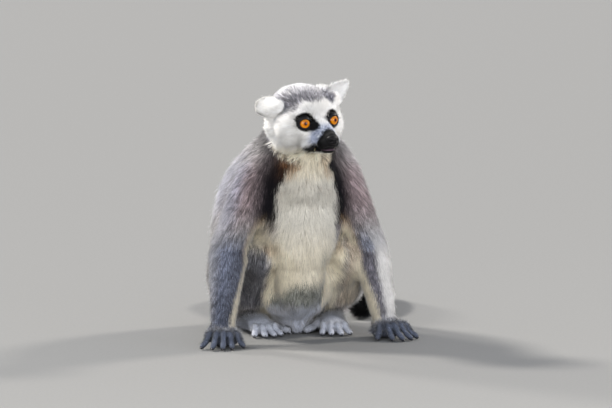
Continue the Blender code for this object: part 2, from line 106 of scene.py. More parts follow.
def within(points, place):
    """Points of the row's frame in the frame that a matrix places."""
    inverse = np.array(place.inverted())
    return points @ inverse[:3, :3].T + inverse[:3, 3]


def in_head(points):
    return within(points, HEAD)


def unit(vectors):
    return vectors / np.maximum(np.linalg.norm(vectors, axis=-1, keepdims=True), 1e-9)


def flattened(vectors, up):
    """The vectors laid along the surface whose normals are given, one metre long."""
    return unit(vectors - up * (vectors * up).sum(1, keepdims=True))


def ramp(value, low, high):
    """0 at low and 1 at high, with soft ends."""
    t = np.clip((value - low) / (high - low), 0, 1)
    return t * t * (3 - 2 * t)


def upright(across, deep, along):
    """The turn whose X, Y and Z lie along these directions."""
    return Matrix((across, deep, along)).transposed().to_4x4()


# ---------------------------------------------------------------- shapes


def linked(name, data):
    made = bpy.data.objects.new(name, data)
    bpy.context.scene.collection.objects.link(made)
    return made


def mesh_object(name, verts, faces):
    mesh = bpy.data.meshes.new(name)
    mesh.from_pydata([tuple(v) for v in verts], [], faces, shade_flat=False)
    return linked(name, mesh)


def mesh_of(name, shape):
    mesh = bpy.data.meshes.new(name)
    shape.to_mesh(mesh)
    shape.free()
    return mesh


def joined(name, shapes):
    whole = bmesh.new()
    for shape in shapes:
        part = mesh_of("part", shape)
        whole.from_mesh(part)
        bpy.data.meshes.remove(part)
    return linked(name, mesh_of(name, whole))


def smooth_stations(stations, per_span):
    """The stations joined by a Catmull-Rom curve, with per_span sections for each span."""
    rows = np.array(stations, float)
    ends = np.vstack([2 * rows[0] - rows[1], rows, 2 * rows[-1] - rows[-2]])
    ends[[0, -1], 3:] = rows[[0, -1], 3:]
    made = []
    for i in range(1, len(ends) - 2):
        p0, p1, p2, p3 = ends[i - 1 : i + 3]
        for t in np.arange(per_span) / per_span:
            bend, twist = 2 * p0 - 5 * p1 + 4 * p2 - p3, 3 * p1 - p0 - 3 * p2 + p3
            made.append(0.5 * (2 * p1 + (p2 - p0) * t + bend * t**2 + twist * t**3))
    made.append(rows[-1])
    return np.array(made)


# The rings that round off a tube's end: how far out each lies, in half widths, and its size
DOME = ((0.5, 0.866), (0.85, 0.52))


def loft(stations, across=(1, 0, 0), per_span=4, sides=20, slim=0.0):
    """A tube with domed ends through stations (x, y, z, half width, half depth), made slimmer by slim."""
    rows = smooth_stations(stations, per_span)
    rows[:, 3:] -= slim
    centres = rows[:, :3]
    along = unit(np.gradient(centres, axis=0))
    wide = np.array(across, float) - along * (along @ np.array(across, float))[:, None]
    wide = unit(wide)
    deep = np.cross(along, wide)
    rings = [(c, w, d, 1.0) for c, w, d in zip(centres, wide * rows[:, 3:4], deep * rows[:, 4:5])]
    lead = 0.5 * (rows[[0, -1], 3] + rows[[0, -1], 4])
    first = [(centres[0] - along[0] * lead[0] * f, rings[0][1], rings[0][2], s) for f, s in reversed(DOME)]
    last = [(centres[-1] + along[-1] * lead[1] * f, rings[-1][1], rings[-1][2], s) for f, s in DOME]
    shape = bmesh.new()
    loops = []
    turns = [2 * math.pi * k / sides for k in range(sides)]
    for centre, w, d, size in first + rings + last:
        loops.append([shape.verts.new(centre + size * (w * math.cos(t) + d * math.sin(t))) for t in turns])
    for low, high in zip(loops, loops[1:]):
        for k in range(sides):
            shape.faces.new((low[k], low[k - 1], high[k - 1], high[k]))
    shape.faces.new(loops[0])
    shape.faces.new(reversed(loops[-1]))
    bmesh.ops.recalc_face_normals(shape, faces=shape.faces)
    return shape


def blob(centre, radii, slim=0.0):
    shape = bmesh.new()
    size = [r - slim for r in radii]
    place = Matrix.Translation(centre) @ Matrix.Diagonal((*size, 1.0))
    bmesh.ops.create_uvsphere(shape, u_segments=32, v_segments=20, radius=1.0, matrix=place)
    return shape


def moved(shape, matrix):
    bmesh.ops.transform(shape, matrix=matrix, verts=shape.verts)
    return shape


def baked(obj):
    """The object with its modifiers applied to its mesh."""
    bpy.context.view_layer.update()
    graph = bpy.context.evaluated_depsgraph_get()
    mesh = bpy.data.meshes.new_from_object(obj.evaluated_get(graph))
    old = obj.data
    obj.modifiers.clear()
    obj.data = mesh
    bpy.data.meshes.remove(old)
    return obj


def modified(obj, kind, **settings):
    made = obj.modifiers.new(kind.lower(), kind)
    for key, value in settings.items():
        setattr(made, key, value)
    return obj


def fused(obj, voxel, smoothing):
    """One closed skin over all that the object holds."""
    modified(obj, "REMESH", mode="VOXEL", voxel_size=voxel)
    return baked(modified(obj, "SMOOTH", factor=0.5, iterations=smoothing))


def at_points(mesh, field):
    """Three values for each of the mesh's points: their places or normals."""
    values = np.empty(len(mesh.vertices) * 3, np.float32)
    mesh.vertices.foreach_get(field, values)
    return values.reshape(-1, 3).astype(float)


def coordinates(mesh):
    return at_points(mesh, "co")


def vertex_normals(mesh):
    return at_points(mesh, "normal")


def place_points(mesh, points):
    mesh.vertices.foreach_set("co", points.astype(np.float32).ravel())


def ring_corners(rings, sides):
    """For each face between rings of points: two neighbours on one ring, and the same two on the next."""
    for i in range(rings):
        for k in range(sides):
            a, b = i * sides + k, i * sides + (k + 1) % sides
            yield a, b, a + sides, b + sides


def welded(obj):
    """Merges the points at the poles of a ball of rings, and turns its faces outwards."""
    shape = bmesh.new()
    shape.from_mesh(obj.data)
    bmesh.ops.remove_doubles(shape, verts=shape.verts, dist=SAME_POINT)
    bmesh.ops.recalc_face_normals(shape, faces=shape.faces)
    shape.to_mesh(obj.data)
    shape.free()
    return obj


# ---------------------------------------------------------------- the lie, length and depth of the coat
# Each bone is a line that a part of the body follows: (x, y, z, radius) from where its fur starts to where it
# ends. Then come the coat's depth over the skin and its tufts' length and width, in millimetres, and how many
# tufts grow on a square millimetre.
SPINE_LINE = [
    (-0.008, -0.142, 0.245, 0.037), (-0.005, -0.112, 0.219, 0.051), (-0.002, -0.080, 0.196, 0.064),
    (0.000, -0.044, 0.166, 0.076), (0.000, -0.010, 0.128, 0.078), (0.001, 0.012, 0.082, 0.076),
    (0.001, 0.036, 0.030, 0.062),
]
# A hand's or foot's line: how far each station lies behind the joint, its height and its radius
HAND_LINE = ((0.004, 0.016, 0.012), (-0.016, 0.011, 0.013), (-0.048, 0.004, 0.012))
FOOT_LINE = ((0.010, 0.010, 0.010), (-0.028, 0.012, 0.012), (-0.056, 0.008, 0.016), (-0.080, 0.004, 0.014))


def tail_radius(share):
    return TAIL_RADIUS * (0.76 + 0.24 * math.sin(math.pi * min(share * 1.2, 1.0) * 0.5) - 0.20 * share**10)


def tail_line():
    rows = []
    for i, (x, y, lift) in enumerate(TAIL_ROUTE):
        radius = tail_radius(i / (len(TAIL_ROUTE) - 1))
        rows.append((x, y, 0.95 * radius + lift, radius, radius))
    return smooth_stations(rows, 4)[:, :4]


def end_line(joint, turn, stations):
    across, ahead = math.sin(math.radians(turn)), math.cos(math.radians(turn))
    return [(joint[0] - back * across, joint[1] + back * ahead, z, radius) for back, z, radius in stations]


BONES = {"spine": (SPINE_LINE, 8.0, 16.0, 0.62, 0.88), "tail": (tail_line(), 8.5, 18.0, 0.75, 0.66)}
for _name in SIDES:
    for _part, _top, _top_radius, _foot, _foot_radius, _coat in (
        ("upper_arm", SHOULDER, 0.030, ELBOW, 0.023, (6.5, 12.5, 0.56, 1.15)),
        ("forearm", ELBOW, 0.0225, WRIST, 0.0150, (4.5, 9.0, 0.52, 1.50)),
        ("thigh", HIP, 0.048, KNEE, 0.024, (8.0, 15.0, 0.62, 0.84)),
        ("shin", KNEE, 0.0235, ANKLE, 0.0145, (5.5, 11.0, 0.60, 1.30)),
    ):
        BONES[f"{_part}_{_name}"] = ([(*_top[_name], _top_radius), (*_foot[_name], _foot_radius)], *_coat)
    BONES["hand_" + _name] = (end_line(WRIST[_name], HAND_TURN[_name], HAND_LINE), 0.6, 4.4, 0.60, 1.30)
    BONES["foot_" + _name] = (end_line(ANKLE[_name], FOOT_TURN[_name], FOOT_LINE), 0.9, 6.0, 0.65, 1.40)
BONE_NAMES = list(BONES)


def along_bones(points):
    """For every point and bone: how far the point is outside the bone's radius, the bone's way there, how far
    along the bone it is, and the turn around it."""
    found = []
    for name in BONE_NAMES:
        line = np.array(BONES[name][0], float)
        best = np.full(len(points), 1e9)
        way, centre = np.zeros((2, len(points), 3))
        share = np.zeros(len(points))
        count = len(line) - 1
        for i in range(count):
            a, b = line[i], line[i + 1]
            run = b[:3] - a[:3]
            t = np.clip(((points - a[:3]) @ run) / (run @ run), 0, 1)
            foot = a[:3] + t[:, None] * run
            gap = np.linalg.norm(points - foot, axis=1) - (a[3] + t * (b[3] - a[3]))
            near = gap < best
            best[near] = gap[near]
            way[near] = run / np.linalg.norm(run)
            share[near] = (i + t[near]) / count
            centre[near] = foot[near]
        out = points - centre
        level = unit(np.cross(way, (0.0, 0.0, 1.0)) + (1e-6, 0, 0))
        rise = np.cross(level, way)
        turn = np.arctan2((out * rise).sum(1), (out * level).sum(1)) / (2 * math.pi) + 0.5
        found.append((best, way, share, turn))
    return [np.array(values) for values in zip(*found)]


def coat_at(points):
    """The coat's depth, length, width, number and lie at points of the body, each point's own bone with its
    share and turn there, and how much it belongs to the hands and feet."""
    gaps, ways, shares, turns = along_bones(points)
    weights = np.exp(-np.clip(gaps - gaps.min(0), 0, 0.1) / 0.006)
    weights /= weights.sum(0)
    facts = np.array([BONES[name][1:] for name in BONE_NAMES])
    depth, length, width, number = (weights.T @ facts).T
    lie = np.einsum("bn,bnk->nk", weights, ways)
    bone = gaps.argmin(0)
    picks = (bone, np.arange(len(points)))
    ends = weights[[name.startswith(("hand", "foot")) for name in BONE_NAMES]].sum(0)
    return depth * MM, length * MM, width * MM, number, lie, bone, shares[picks], turns[picks], ends


# ---------------------------------------------------------------- colours


def linear(code):
    """An sRGB hex colour as linear red, green and blue."""
    values = [int(code[i : i + 2], 16) / 255 for i in (1, 3, 5)]
    return np.array([v / 12.92 if v <= 0.04045 else ((v + 0.055) / 1.055) ** 2.4 for v in values])


WHITE = linear("#f1efec")
CREAM = linear("#e9dfc8")
BREAST = linear("#dcd8cd")
OCHRE = linear("#9c8061")
UMBER = linear("#6b4a30")
SHADE_GREY = linear("#7f8079")
# the lilac, the blue grey and the muzzle's grey are bluer than the fur itself: partly painted sky light in
# shade
SKY_TINTED_LILAC = linear("#8a8c9c")
CHARCOAL = linear("#151318")
BROWN_GREY = linear("#827476")
SKY_TINTED_BLUE_GREY = linear("#656a7a")
BACK_GREY = linear("#8c8a8b")
DARK_GREY = linear("#45464d")
SHIN_GREY = linear("#807b78")
TAN_GREY = linear("#a99c8c")
CAP_GREY = linear("#64636a")
BLACK = linear("#070708")
SKY_TINTED_MUZZLE_GREY = linear("#8491b1")
HAND_GREY = linear("#585f70")
FOOT_GREY = linear("#c9cedb")
ARM_GREY = linear("#64626a")
# a pale grey that is no colour of the fur: painted sunlight on the crown and painted rim light on the right
# arm
SUNLIT_GREY = linear("#c9c8cd")
PAD_GREY = linear("#2a2c33")


def mix(base, colour, share):
    share = np.asarray(share)[:, None]
    return base * (1 - share) + np.asarray(colour) * share


def ripple(points, size, seed=0.0):
    """A smooth, slow wobble from -1 to 1 whose swells are about size across."""
    k = 2 * math.pi / size
    x, y, z = points.T
    a = np.sin(k * (x + 0.7 * y) + 1.3 + seed) * np.cos(k * (0.8 * z - 0.5 * x) + 2.1 * seed)
    b = np.sin(1.9 * k * (0.6 * z + 0.8 * y) + 0.4 + seed) * np.cos(1.7 * k * (x - 0.3 * z) + seed)
    return 0.6 * a + 0.4 * b


# Painted shade on the right cheek: a faint grey line where its fur parts, and an arc of painted shadow in the
# crease
# under the eye. Each: place in the head, size along each axis, strength
CHEEK_SHADE_MARKS = [
    ((-0.0390, -0.0010, -0.0060), (0.0030, 0.0030, 0.0013), 0.75),
    ((-0.0355, -0.0110, -0.0085), (0.0030, 0.0022, 0.0013), 0.60),
    ((-0.0375, -0.0060, -0.0050), (0.0030, 0.0040, 0.0009), 0.40),
    ((-0.0270, -0.0270, -0.0200), (0.0060, 0.0060, 0.0018), 0.45),
]


def head_colours(points):
    """The mask: white face, ears and cheeks, grey cap, black eye patches and black muzzle tip."""
    h = in_head(points)
    x, y, z = h.T
    side = np.abs(x)
    wobble = 0.0012 * ripple(h, 0.012)
    colour = np.repeat(WHITE[None], len(points), 0)

    # the cap's lower edge dips at the sides, but runs in over the left temple; painted sunlight pales its
    # crown
    edge = 0.0165 - 0.72 * np.maximum(side - 0.0150, 0) + 0.8 * wobble
    edge = edge + 1.9 * np.maximum(x - 0.0230, 0) * ramp(-y, -0.012, -0.004)
    cap = ramp(z - edge, -0.0010, 0.0030) * ramp(y, -0.036, -0.028)
    behind = ramp(y + 0.15 * z + wobble - 1.3 * np.maximum(-x - 0.023, 0), 0.012, 0.019)
    cap = np.maximum(cap, behind * ramp(z + 1.2 * np.maximum(y - 0.010, 0), -0.040, -0.030))
    crown = ramp(z + 0.25 * y + wobble, 0.0185, 0.0345)
    colour = mix(colour, CAP_GREY, cap)
    colour = mix(colour, SUNLIT_GREY, 0.58 * crown * cap)
    throat = ramp(-z, 0.030, 0.042) * (1 - cap)
    colour = mix(colour, CREAM, throat)

    # the grey sides of the muzzle, their blue partly painted sky light in shade, and the cheek's painted
    # shade
    grey_side = ramp(-y - 0.4 * side, 0.0245, 0.0330) * (1 - ramp(-z, 0.027, 0.034)) * ramp(-z, 0.004, 0.010)
    colour = mix(colour, SKY_TINTED_MUZZLE_GREY, 0.80 * grey_side)
    for place, size, share in CHEEK_SHADE_MARKS:
        off = (h - place) / size
        colour = mix(colour, BACK_GREY, share * np.exp(-(off**2).sum(1)))

    # the eye patches, drawn out a little towards the nose
    for s in SIDES.values():
        dx, dz = s * x - 0.0180, z + 0.0044
        reach = np.where(dx < 0, (0.0122 if s < 0 else 0.0102) - 0.0015 * (dz > 0), 0.0112)
        around = np.hypot(dx / reach, dz / 0.0107)
        patch = (1 - ramp(around + 40 * wobble, 0.94, 1.10)) * ramp(-y, 0.012, 0.018)
        colour = mix(colour, BLACK, patch)

    # the black tip of the muzzle and the line of the lips
    below = np.maximum(-0.0180 - z, 0)
    edge = 0.0485 - 0.56 * below - 16.0 * below**2
    black = ramp(-y + wobble, edge - 0.0012, edge + 0.0012)
    lip = (1 - ramp(np.abs(z - mouth_height(y) - 0.0006), 0.0030, 0.0046)) * ramp(-y, 0.014, 0.020)
    chin = ramp(-z - 0.0380 - 0.0016 * ramp(-y, 0.036, 0.050), 0.0, 0.0016)
    return mix(colour, BLACK, np.maximum(black * (1 - 0.95 * chin), lip))


def mouth_height(y):
    """The height of the mouth's line in the head, from its corner to the front of the lips."""
    return -0.0385 + 0.0038 * ramp(-np.asarray(y), 0.014, 0.052)


def on_bone(bone, prefix):
    """Which points belong to the bones whose names start so."""
    return np.char.startswith(np.array(BONE_NAMES)[bone], prefix)


def greys(colour, points, trunk, arm, fore, shin):
    """The back's grey, browner on the shoulders, cooler on the right shoulder and on the forearms, whose blue
    is partly painted sky light in shade.
    """
    x, y, z = points.T
    upper = trunk | arm
    # painted light: the brown is 8 per cent paler on the left side, where more light falls
    brown = BROWN_GREY * np.where(x > 0, 1.08, 1.0)[:, None]
    frontal = 1 - 0.75 * ramp(z + 0.9 * y, 0.080, 0.145)
    colour = mix(colour, brown, ramp(z, 0.110, 0.170) * upper * frontal)
    outwards = np.abs(x) - np.interp(z, [0.10, 0.16, 0.20, 0.24], [0.085, 0.068, 0.055, 0.042])
    # painted sky light: the right shoulder's outer side bluer, as in shade under a blue sky
    sky_tint = 0.8 * ramp(outwards, 0.004, 0.020) * ramp(z, 0.110, 0.150) * upper * (x < 0)
    colour = mix(colour, SKY_TINTED_LILAC, sky_tint)
    colour = mix(colour, np.where(x[:, None] < 0, SKY_TINTED_BLUE_GREY, ARM_GREY), fore * 1.0)
    colour = mix(colour, SKY_TINTED_BLUE_GREY, arm * ramp(-z, -0.140, -0.110) * 0.8)
    colour = mix(colour, SKY_TINTED_BLUE_GREY * 0.72, fore * (x < 0) * ramp(-z, -0.085, -0.045))
    return mix(colour, SHIN_GREY, shin * 0.9)


def breast_and_bands(colour, points, wobble, trunk, arm):
    """The white breast and belly, narrower at the throat, with a dark band down each side of the breast."""
    x, y, z = points.T
    upper = trunk | arm
    middle = np.interp(z, [0.080, 0.142, 0.167, 0.191, 0.215], [0.000, 0.0035, 0.0031, 0.0005, -0.0008])
    half = np.interp(z, [0.142, 0.167, 0.191, 0.215, 0.235], [0.0345, 0.0343, 0.0295, 0.0198, 0.0160])
    half = half + wobble
    front = ramp(-y - 0.75 * (z - 0.130), 0.030, 0.060)
    front = np.where(z > 0.150, ramp(-y - 0.9 * (z - 0.150), 0.052, 0.072), front)
    off = np.abs(x - middle) - half
    breast = (1 - ramp(off, -0.0035, 0.0035)) * front
    fade = ramp(off + wobble, np.where(x < 0, 0.012, 0.008), np.where(x < 0, 0.038, 0.029))
    band = ramp(off, -0.0035, 0.0020) * (1 - fade) ** 0.75 * ramp(z, 0.128, 0.146) * ramp(-y, 0.035, 0.070)
    nape = ramp(z - 0.25 * y, 0.232, 0.262) * ramp(off, -0.002, 0.006)
    colour = mix(colour, CHARCOAL, np.maximum(band, 0.85 * nape) * upper)
    colour = mix(colour, BREAST, breast * upper)
    warm = np.maximum(0.75 * ramp(-z, -0.150, -0.090), 0.9 * ramp(z, 0.188, 0.205))
    colour = mix(colour, CREAM, breast * upper * warm)

    # rusty fringes beside the throat, a warm painted shadow at its right corner, and a broken collar on the
    # breast
    fringe = (1 - ramp(np.abs(off + 0.004), 0.002, 0.007)) * ramp(z, 0.190, 0.205) * front
    colour = mix(colour, OCHRE, 0.65 * fringe * trunk)
    corner = np.exp(-((x + 0.024) / 0.010) ** 2 - ((z - 0.213) / 0.014) ** 2) * front
    colour = mix(colour, UMBER, 0.85 * corner * trunk)
    broken = ramp(ripple(points, 0.010, 3.0), 0.1, 0.7)
    collar = (1 - ramp(np.abs(z - 0.189 + 0.4 * np.abs(x)), 0.001, 0.005)) * broken
    return mix(colour, UMBER, 0.75 * collar * breast * trunk)


def inside_and_outside_of_arms(colour, points, wobble, arm, fore):
    """A warm wash where the arms fold, cream insides, and painted light on the outsides: a pale rim of
    painted rim light on the right arm, a white strip of painted sunlight on the left.
    """
    x, y, z = points.T
    heights = [0.027, 0.111, 0.194]
    right = np.interp(z, heights, [-0.096, -0.085, -0.049])
    left = np.interp(z, heights, [0.100, 0.083, 0.045])
    inner = np.where(x < 0, x - right, left - x)
    near_fold = 1 - ramp(np.abs(z - 0.120), 0.012, 0.034)
    colour = mix(colour, OCHRE, (arm | fore) * ramp(inner, 0.010, 0.018) * near_fold * 0.65)
    inside_arm = fore * ramp(inner - 0.0105 * ramp(z, 0.02, 0.10), 0.0035, 0.0075)
    colour = mix(colour, CREAM, inside_arm * 0.9)
    colour = mix(colour, CREAM, arm * ramp(inner, 0.013, 0.020) * (1 - ramp(z, 0.124, 0.145)))
    colour = mix(colour, DARK_GREY, 0.5 * fore * (x < 0) * ramp(inner, -0.004, 0.004) * (1 - inside_arm))
    # painted sunlight: a white strip down the outer side of the left arm
    sunlit_outer_arm = (fore | arm) * (x > 0) * ramp(-inner - 0.0012 + 0.3 * wobble, -0.003, 0.004)
    bone_y = np.interp(z, [0.027, 0.110, 0.195], [-0.086, -0.080, -0.088])
    sunlit_outer_arm = sunlit_outer_arm * (1 - ramp(z, 0.080, 0.150)) * (1 - 0.75 * ramp(y - bone_y, -0.002, 0.014))
    colour = mix(colour, WHITE, 0.9 * sunlit_outer_arm)
    # painted rim light: the right arm's outer edge paler, as if lit from behind
    rim = 0.3 * (fore | arm) * (x < 0) * ramp(-inner, 0.009, 0.019) * (1 - ramp(z, 0.130, 0.180))
    return mix(colour, SUNLIT_GREY, rim)


def legs_and_lap(colour, points, wobble, trunk, fore, thigh, shin):
    """Cream insides and strips on the legs, a dark right shin, a tan left one, painted sunlight on the left
    hip, and painted shade in the lap.
    """
    x, y, z = points.T
    legs = thigh | shin
    leg_x = np.where(x < 0, -0.0375, 0.052)
    inside = np.where(x < 0, x - leg_x, leg_x - x)
    colour = mix(colour, CREAM, legs * ramp(inside + wobble, -0.004, 0.004) * ramp(-y, -0.020, 0.020))
    on_thigh = thigh * ramp(-y + wobble, 0.005, 0.055) * (1 - ramp(z, 0.120, 0.150))
    leg_front = np.where(shin, 1.0, on_thigh)
    outer_grey = leg_front * (1 - ramp(inside + wobble, -0.006, 0.001)) * ramp(z, 0.025, 0.040)
    colour = mix(colour, DARK_GREY, 0.80 * outer_grey * (x < 0))
    colour = mix(colour, TAN_GREY, outer_grey * (x > 0))
    strip = 0.9 * legs * ramp(x + wobble, 0.058, 0.070) * ramp(-y, 0.030, 0.075)
    colour = mix(colour, CREAM, strip * (1 - ramp(z + wobble, 0.082, 0.106)))
    colour = mix(colour, CREAM * 0.85, 0.85 * leg_front * (x < 0) * ramp(z, 0.106, 0.118))

    beside = trunk * ramp(x, 0.031, 0.037) * (1 - ramp(z, 0.095, 0.112)) * ramp(-y, 0.030, 0.050)
    colour = mix(colour, CREAM, beside)
    shade = ramp(x, 0.018, 0.026) * (1 - ramp(x, 0.030, 0.037))
    shade = shade * ramp(z, 0.050, 0.065) * (1 - ramp(z, 0.092, 0.112))
    edge = z - 0.0012 * ripple(points, 0.02) - 0.013 * ramp(x, -0.024, -0.010)
    under = (1 - ramp(edge, 0.044, 0.060)) * ramp(-y, 0.020, 0.040) * (np.abs(x) < 0.030)
    dull = np.maximum(0.7 * shade * trunk * ramp(-y, 0.020, 0.040), under * (trunk | shin | thigh))
    colour = mix(colour, SHADE_GREY, dull)
    colour = mix(colour, FOOT_GREY, under * (1 - ramp(z, 0.032, 0.045)) * trunk)

    # painted sunlight: the outer side of the left hip made white
    sunlit_hip = ramp(x + 0.25 * y, 0.055, 0.068) * ramp(-z, -0.075, -0.050) * (1 - ramp(y, 0.010, 0.040))
    colour = mix(colour, WHITE, 0.85 * thigh * (x > 0) * sunlit_hip)
    fold = np.exp(-(((x + 0.046) / 0.015) ** 2) - ((z - 0.122) / 0.013) ** 2)
    fold = fold * ramp(-y, 0.040, 0.070) * (1 - fore)
    colour = mix(colour, CREAM, 0.75 * fold)
    from_knee = np.hypot(np.where(x < 0, x + 0.036, x - 0.044), z - 0.108)
    return mix(colour, OCHRE, 0.45 * ((1 - ramp(from_knee, 0.004, 0.011)) * legs))


def tail_rings(points, share):
    """A grey root, then black and white rings in turn, and a black tip."""
    pale = np.sin(2 * math.pi * (share - 0.075) / 0.0715 + 0.5 * ripple(points, 0.02, 2.0)) > 0
    ring = np.where(pale[:, None], WHITE, BLACK)
    ring = np.where((share > 0.93)[:, None], BLACK, ring)
    root = ramp(share, 0.05, 0.09)[:, None]
    return BACK_GREY * (1 - root) + ring * root


def body_colours(points, bone, share):
    """Back, limbs, bands, breast and tail, in the row's frame."""
    colour = np.repeat(BACK_GREY[None], len(points), 0)
    wobble = ripple(points, 0.035) * 0.004
    trunk, arm, fore, thigh, shin, tail = (
        on_bone(bone, prefix) for prefix in ("spine", "upper_arm", "forearm", "thigh", "shin", "tail"))
    colour = greys(colour, points, trunk, arm, fore, shin)
    colour = breast_and_bands(colour, points, wobble, trunk, arm)
    colour = inside_and_outside_of_arms(colour, points, wobble, arm, fore)
    colour = legs_and_lap(colour, points, wobble, trunk, fore, thigh, shin)
    return np.where(tail[:, None], tail_rings(points, share), colour)


# ---------------------------------------------------------------- materials


def node(tree, kind, settings=(), **links):
    """Adds a node. Settings go to its properties or inputs, and links join its inputs to other nodes'
    outputs. i0, i1 and so on are inputs by number."""
    made = tree.nodes.new(kind)
    for key, value in dict(settings).items():
        if isinstance(key, int) or key in made.inputs:
            made.inputs[key].default_value = value
        else:
            setattr(made, key, value)
    for key, source in links.items():
        numbered = key[0] == "i" and key[1:].isdigit()
        tree.links.new(source, made.inputs[int(key[1:]) if numbered else key.replace("_", " ")])
    return made


def new_material(name, **settings):
    """A material whose Principled shader has these settings, written with _ for a space."""
    made = bpy.data.materials.new(name)
    made.use_nodes = True
    shader = made.node_tree.nodes["Principled BSDF"]
    for key, value in settings.items():
        shader.inputs[key.replace("_", " ")].default_value = value
    return made, made.node_tree, shader


def own_place(tree):
    """Each point's place on the piece itself, in metres."""
    return node(tree, "ShaderNodeTexCoord").outputs["Object"]


def grain(tree, scale, detail=2.0, place=None, **settings):
    """Noise with that many swells to a metre, or to a unit of the place given."""
    place = own_place(tree) if place is None else place
    settings = {"Scale": scale, "Detail": detail, **settings}
    return node(tree, "ShaderNodeTexNoise", settings, Vector=place).outputs["Fac"]


def ranged(tree, source, low, high, start, end):
    """The source's values from low to high, spread from start to end."""
    limits = {"From Min": low, "From Max": high, "To Min": start, "To Max": end}
    return node(tree, "ShaderNodeMapRange", limits, Value=source).outputs["Result"]


def between(tree, shader, source, low, high):
    """Colours the shader from one linear colour to another, as the source runs from 0 to 1."""
    tint = node(tree, "ShaderNodeValToRGB", {}, Fac=source)
    for element, colour in zip(tint.color_ramp.elements, (low, high)):
        element.color = (*colour, 1)
    tree.links.new(tint.outputs["Color"], shader.inputs["Base Color"])


def toned(tree, shader, colour, tone):
    """Colours the shader with a colour that the tone makes darker or paler."""
    shade = node(tree, "ShaderNodeVectorMath", {"operation": "SCALE"}, i0=colour, Scale=tone)
    tree.links.new(shade.outputs["Vector"], shader.inputs["Base Color"])


def bumped(tree, shader, height, strength, distance):
    bump = node(tree, "ShaderNodeBump", {"Strength": strength, "Distance": distance}, Height=height)
    tree.links.new(bump.outputs["Normal"], shader.inputs["Normal"])


def fur_material():
    """Dry hair. A tuft holds several hairs, so its colour runs in streaks along it. Grey hairs are banded
    with dark and pale, and white ones are plain. Light that grazes the coat catches the loose tips, as sheen
    does."""
    made, tree, shader = new_material(
        "soft_dense_fur", Roughness=0.65, IOR=1.55, Specular_IOR_Level=0.12, Sheen_Roughness=0.40)
    coat = node(tree, "ShaderNodeAttribute", {"attribute_name": "coat"}).outputs["Color"]
    patch = node(tree, "ShaderNodeUVMap", {"uv_map": "OFBake"}).outputs["UV"]
    # a tuft's patch is 3 thousandths across: about eight hairs side by side, with three bands along each
    stretch = node(tree, "ShaderNodeMapping", {"Scale": (2600.0, 1000.0, 1.0)}, Vector=patch)
    hairs = grain(tree, 1.0, place=stretch.outputs["Vector"])
    paleness = node(tree, "ShaderNodeRGBToBW", {}, Color=coat).outputs["Val"]
    plain = ranged(tree, paleness, 0.25, 0.60, 1.0, 0.28)
    gleam = ranged(tree, paleness, 0.01, 0.25, 0.02, 0.50)
    tree.links.new(gleam, shader.inputs["Sheen Weight"])
    band = ranged(tree, hairs, 0.32, 0.68, -0.45, 0.42)
    tone = node(tree, "ShaderNodeMath", {"operation": "MULTIPLY_ADD", 2: 1.0}, i0=band, i1=plain)
    toned(tree, shader, coat, tone.outputs["Value"])
    return made


def skin_material():
    """Skin under close short hair: a fine nap, with hairs about a millimetre apart."""
    made, tree, shader = new_material(
        "short_haired_skin", Roughness=0.7, IOR=1.45, Specular_IOR_Level=0.18, Sheen_Weight=0.03,
        Sheen_Roughness=0.5)
    coat = node(tree, "ShaderNodeAttribute", {"attribute_name": "coat"}).outputs["Color"]
    nap = grain(tree, 900.0, 3.0, Roughness=0.6)
    toned(tree, shader, coat, ranged(tree, nap, 0.3, 0.7, 0.78, 1.12))
    bumped(tree, shader, nap, 0.5, 0.0004)
    return made


def bare_skin_material(name, code, roughness, cell, depth):
    """Moist bare skin with a pebbled grain, whose cells have that width and depth."""
    made, tree, shader = new_material(
        name, Roughness=roughness, IOR=1.42, Coat_Weight=0.06, Coat_Roughness=0.30, Specular_IOR_Level=0.22)
    place = own_place(tree)
    cells = node(tree, "ShaderNodeTexVoronoi", {"Scale": 1 / cell}, Vector=place)
    between(tree, shader, grain(tree, 180.0, 3.0, place), linear(code) * 0.7, linear(code) * 1.7)
    bumped(tree, shader, cells.outputs["Distance"], 0.6, depth)
    return made


def clouded_material(name, dark, pale, swells, detail=2.0, **settings):
    """A plain stuff whose colour drifts between two tones: horn, enamel or paint."""
    made, tree, shader = new_material(name, **settings)
    between(tree, shader, grain(tree, swells, detail), linear(dark), linear(pale))
    return made


# The eye's colours from the middle of the pupil out to the dark rim of its white
IRIS_RINGS = [
    (0.0, "#050405"), (0.112, "#050405"), (0.140, "#6b2c04"), (0.23, "#b56405"), (0.42, "#d98608"),
    (0.56, "#bb6a04"), (0.635, "#6f3605"), (0.685, "#1d0f08"), (1.0, "#0b0808"),
]


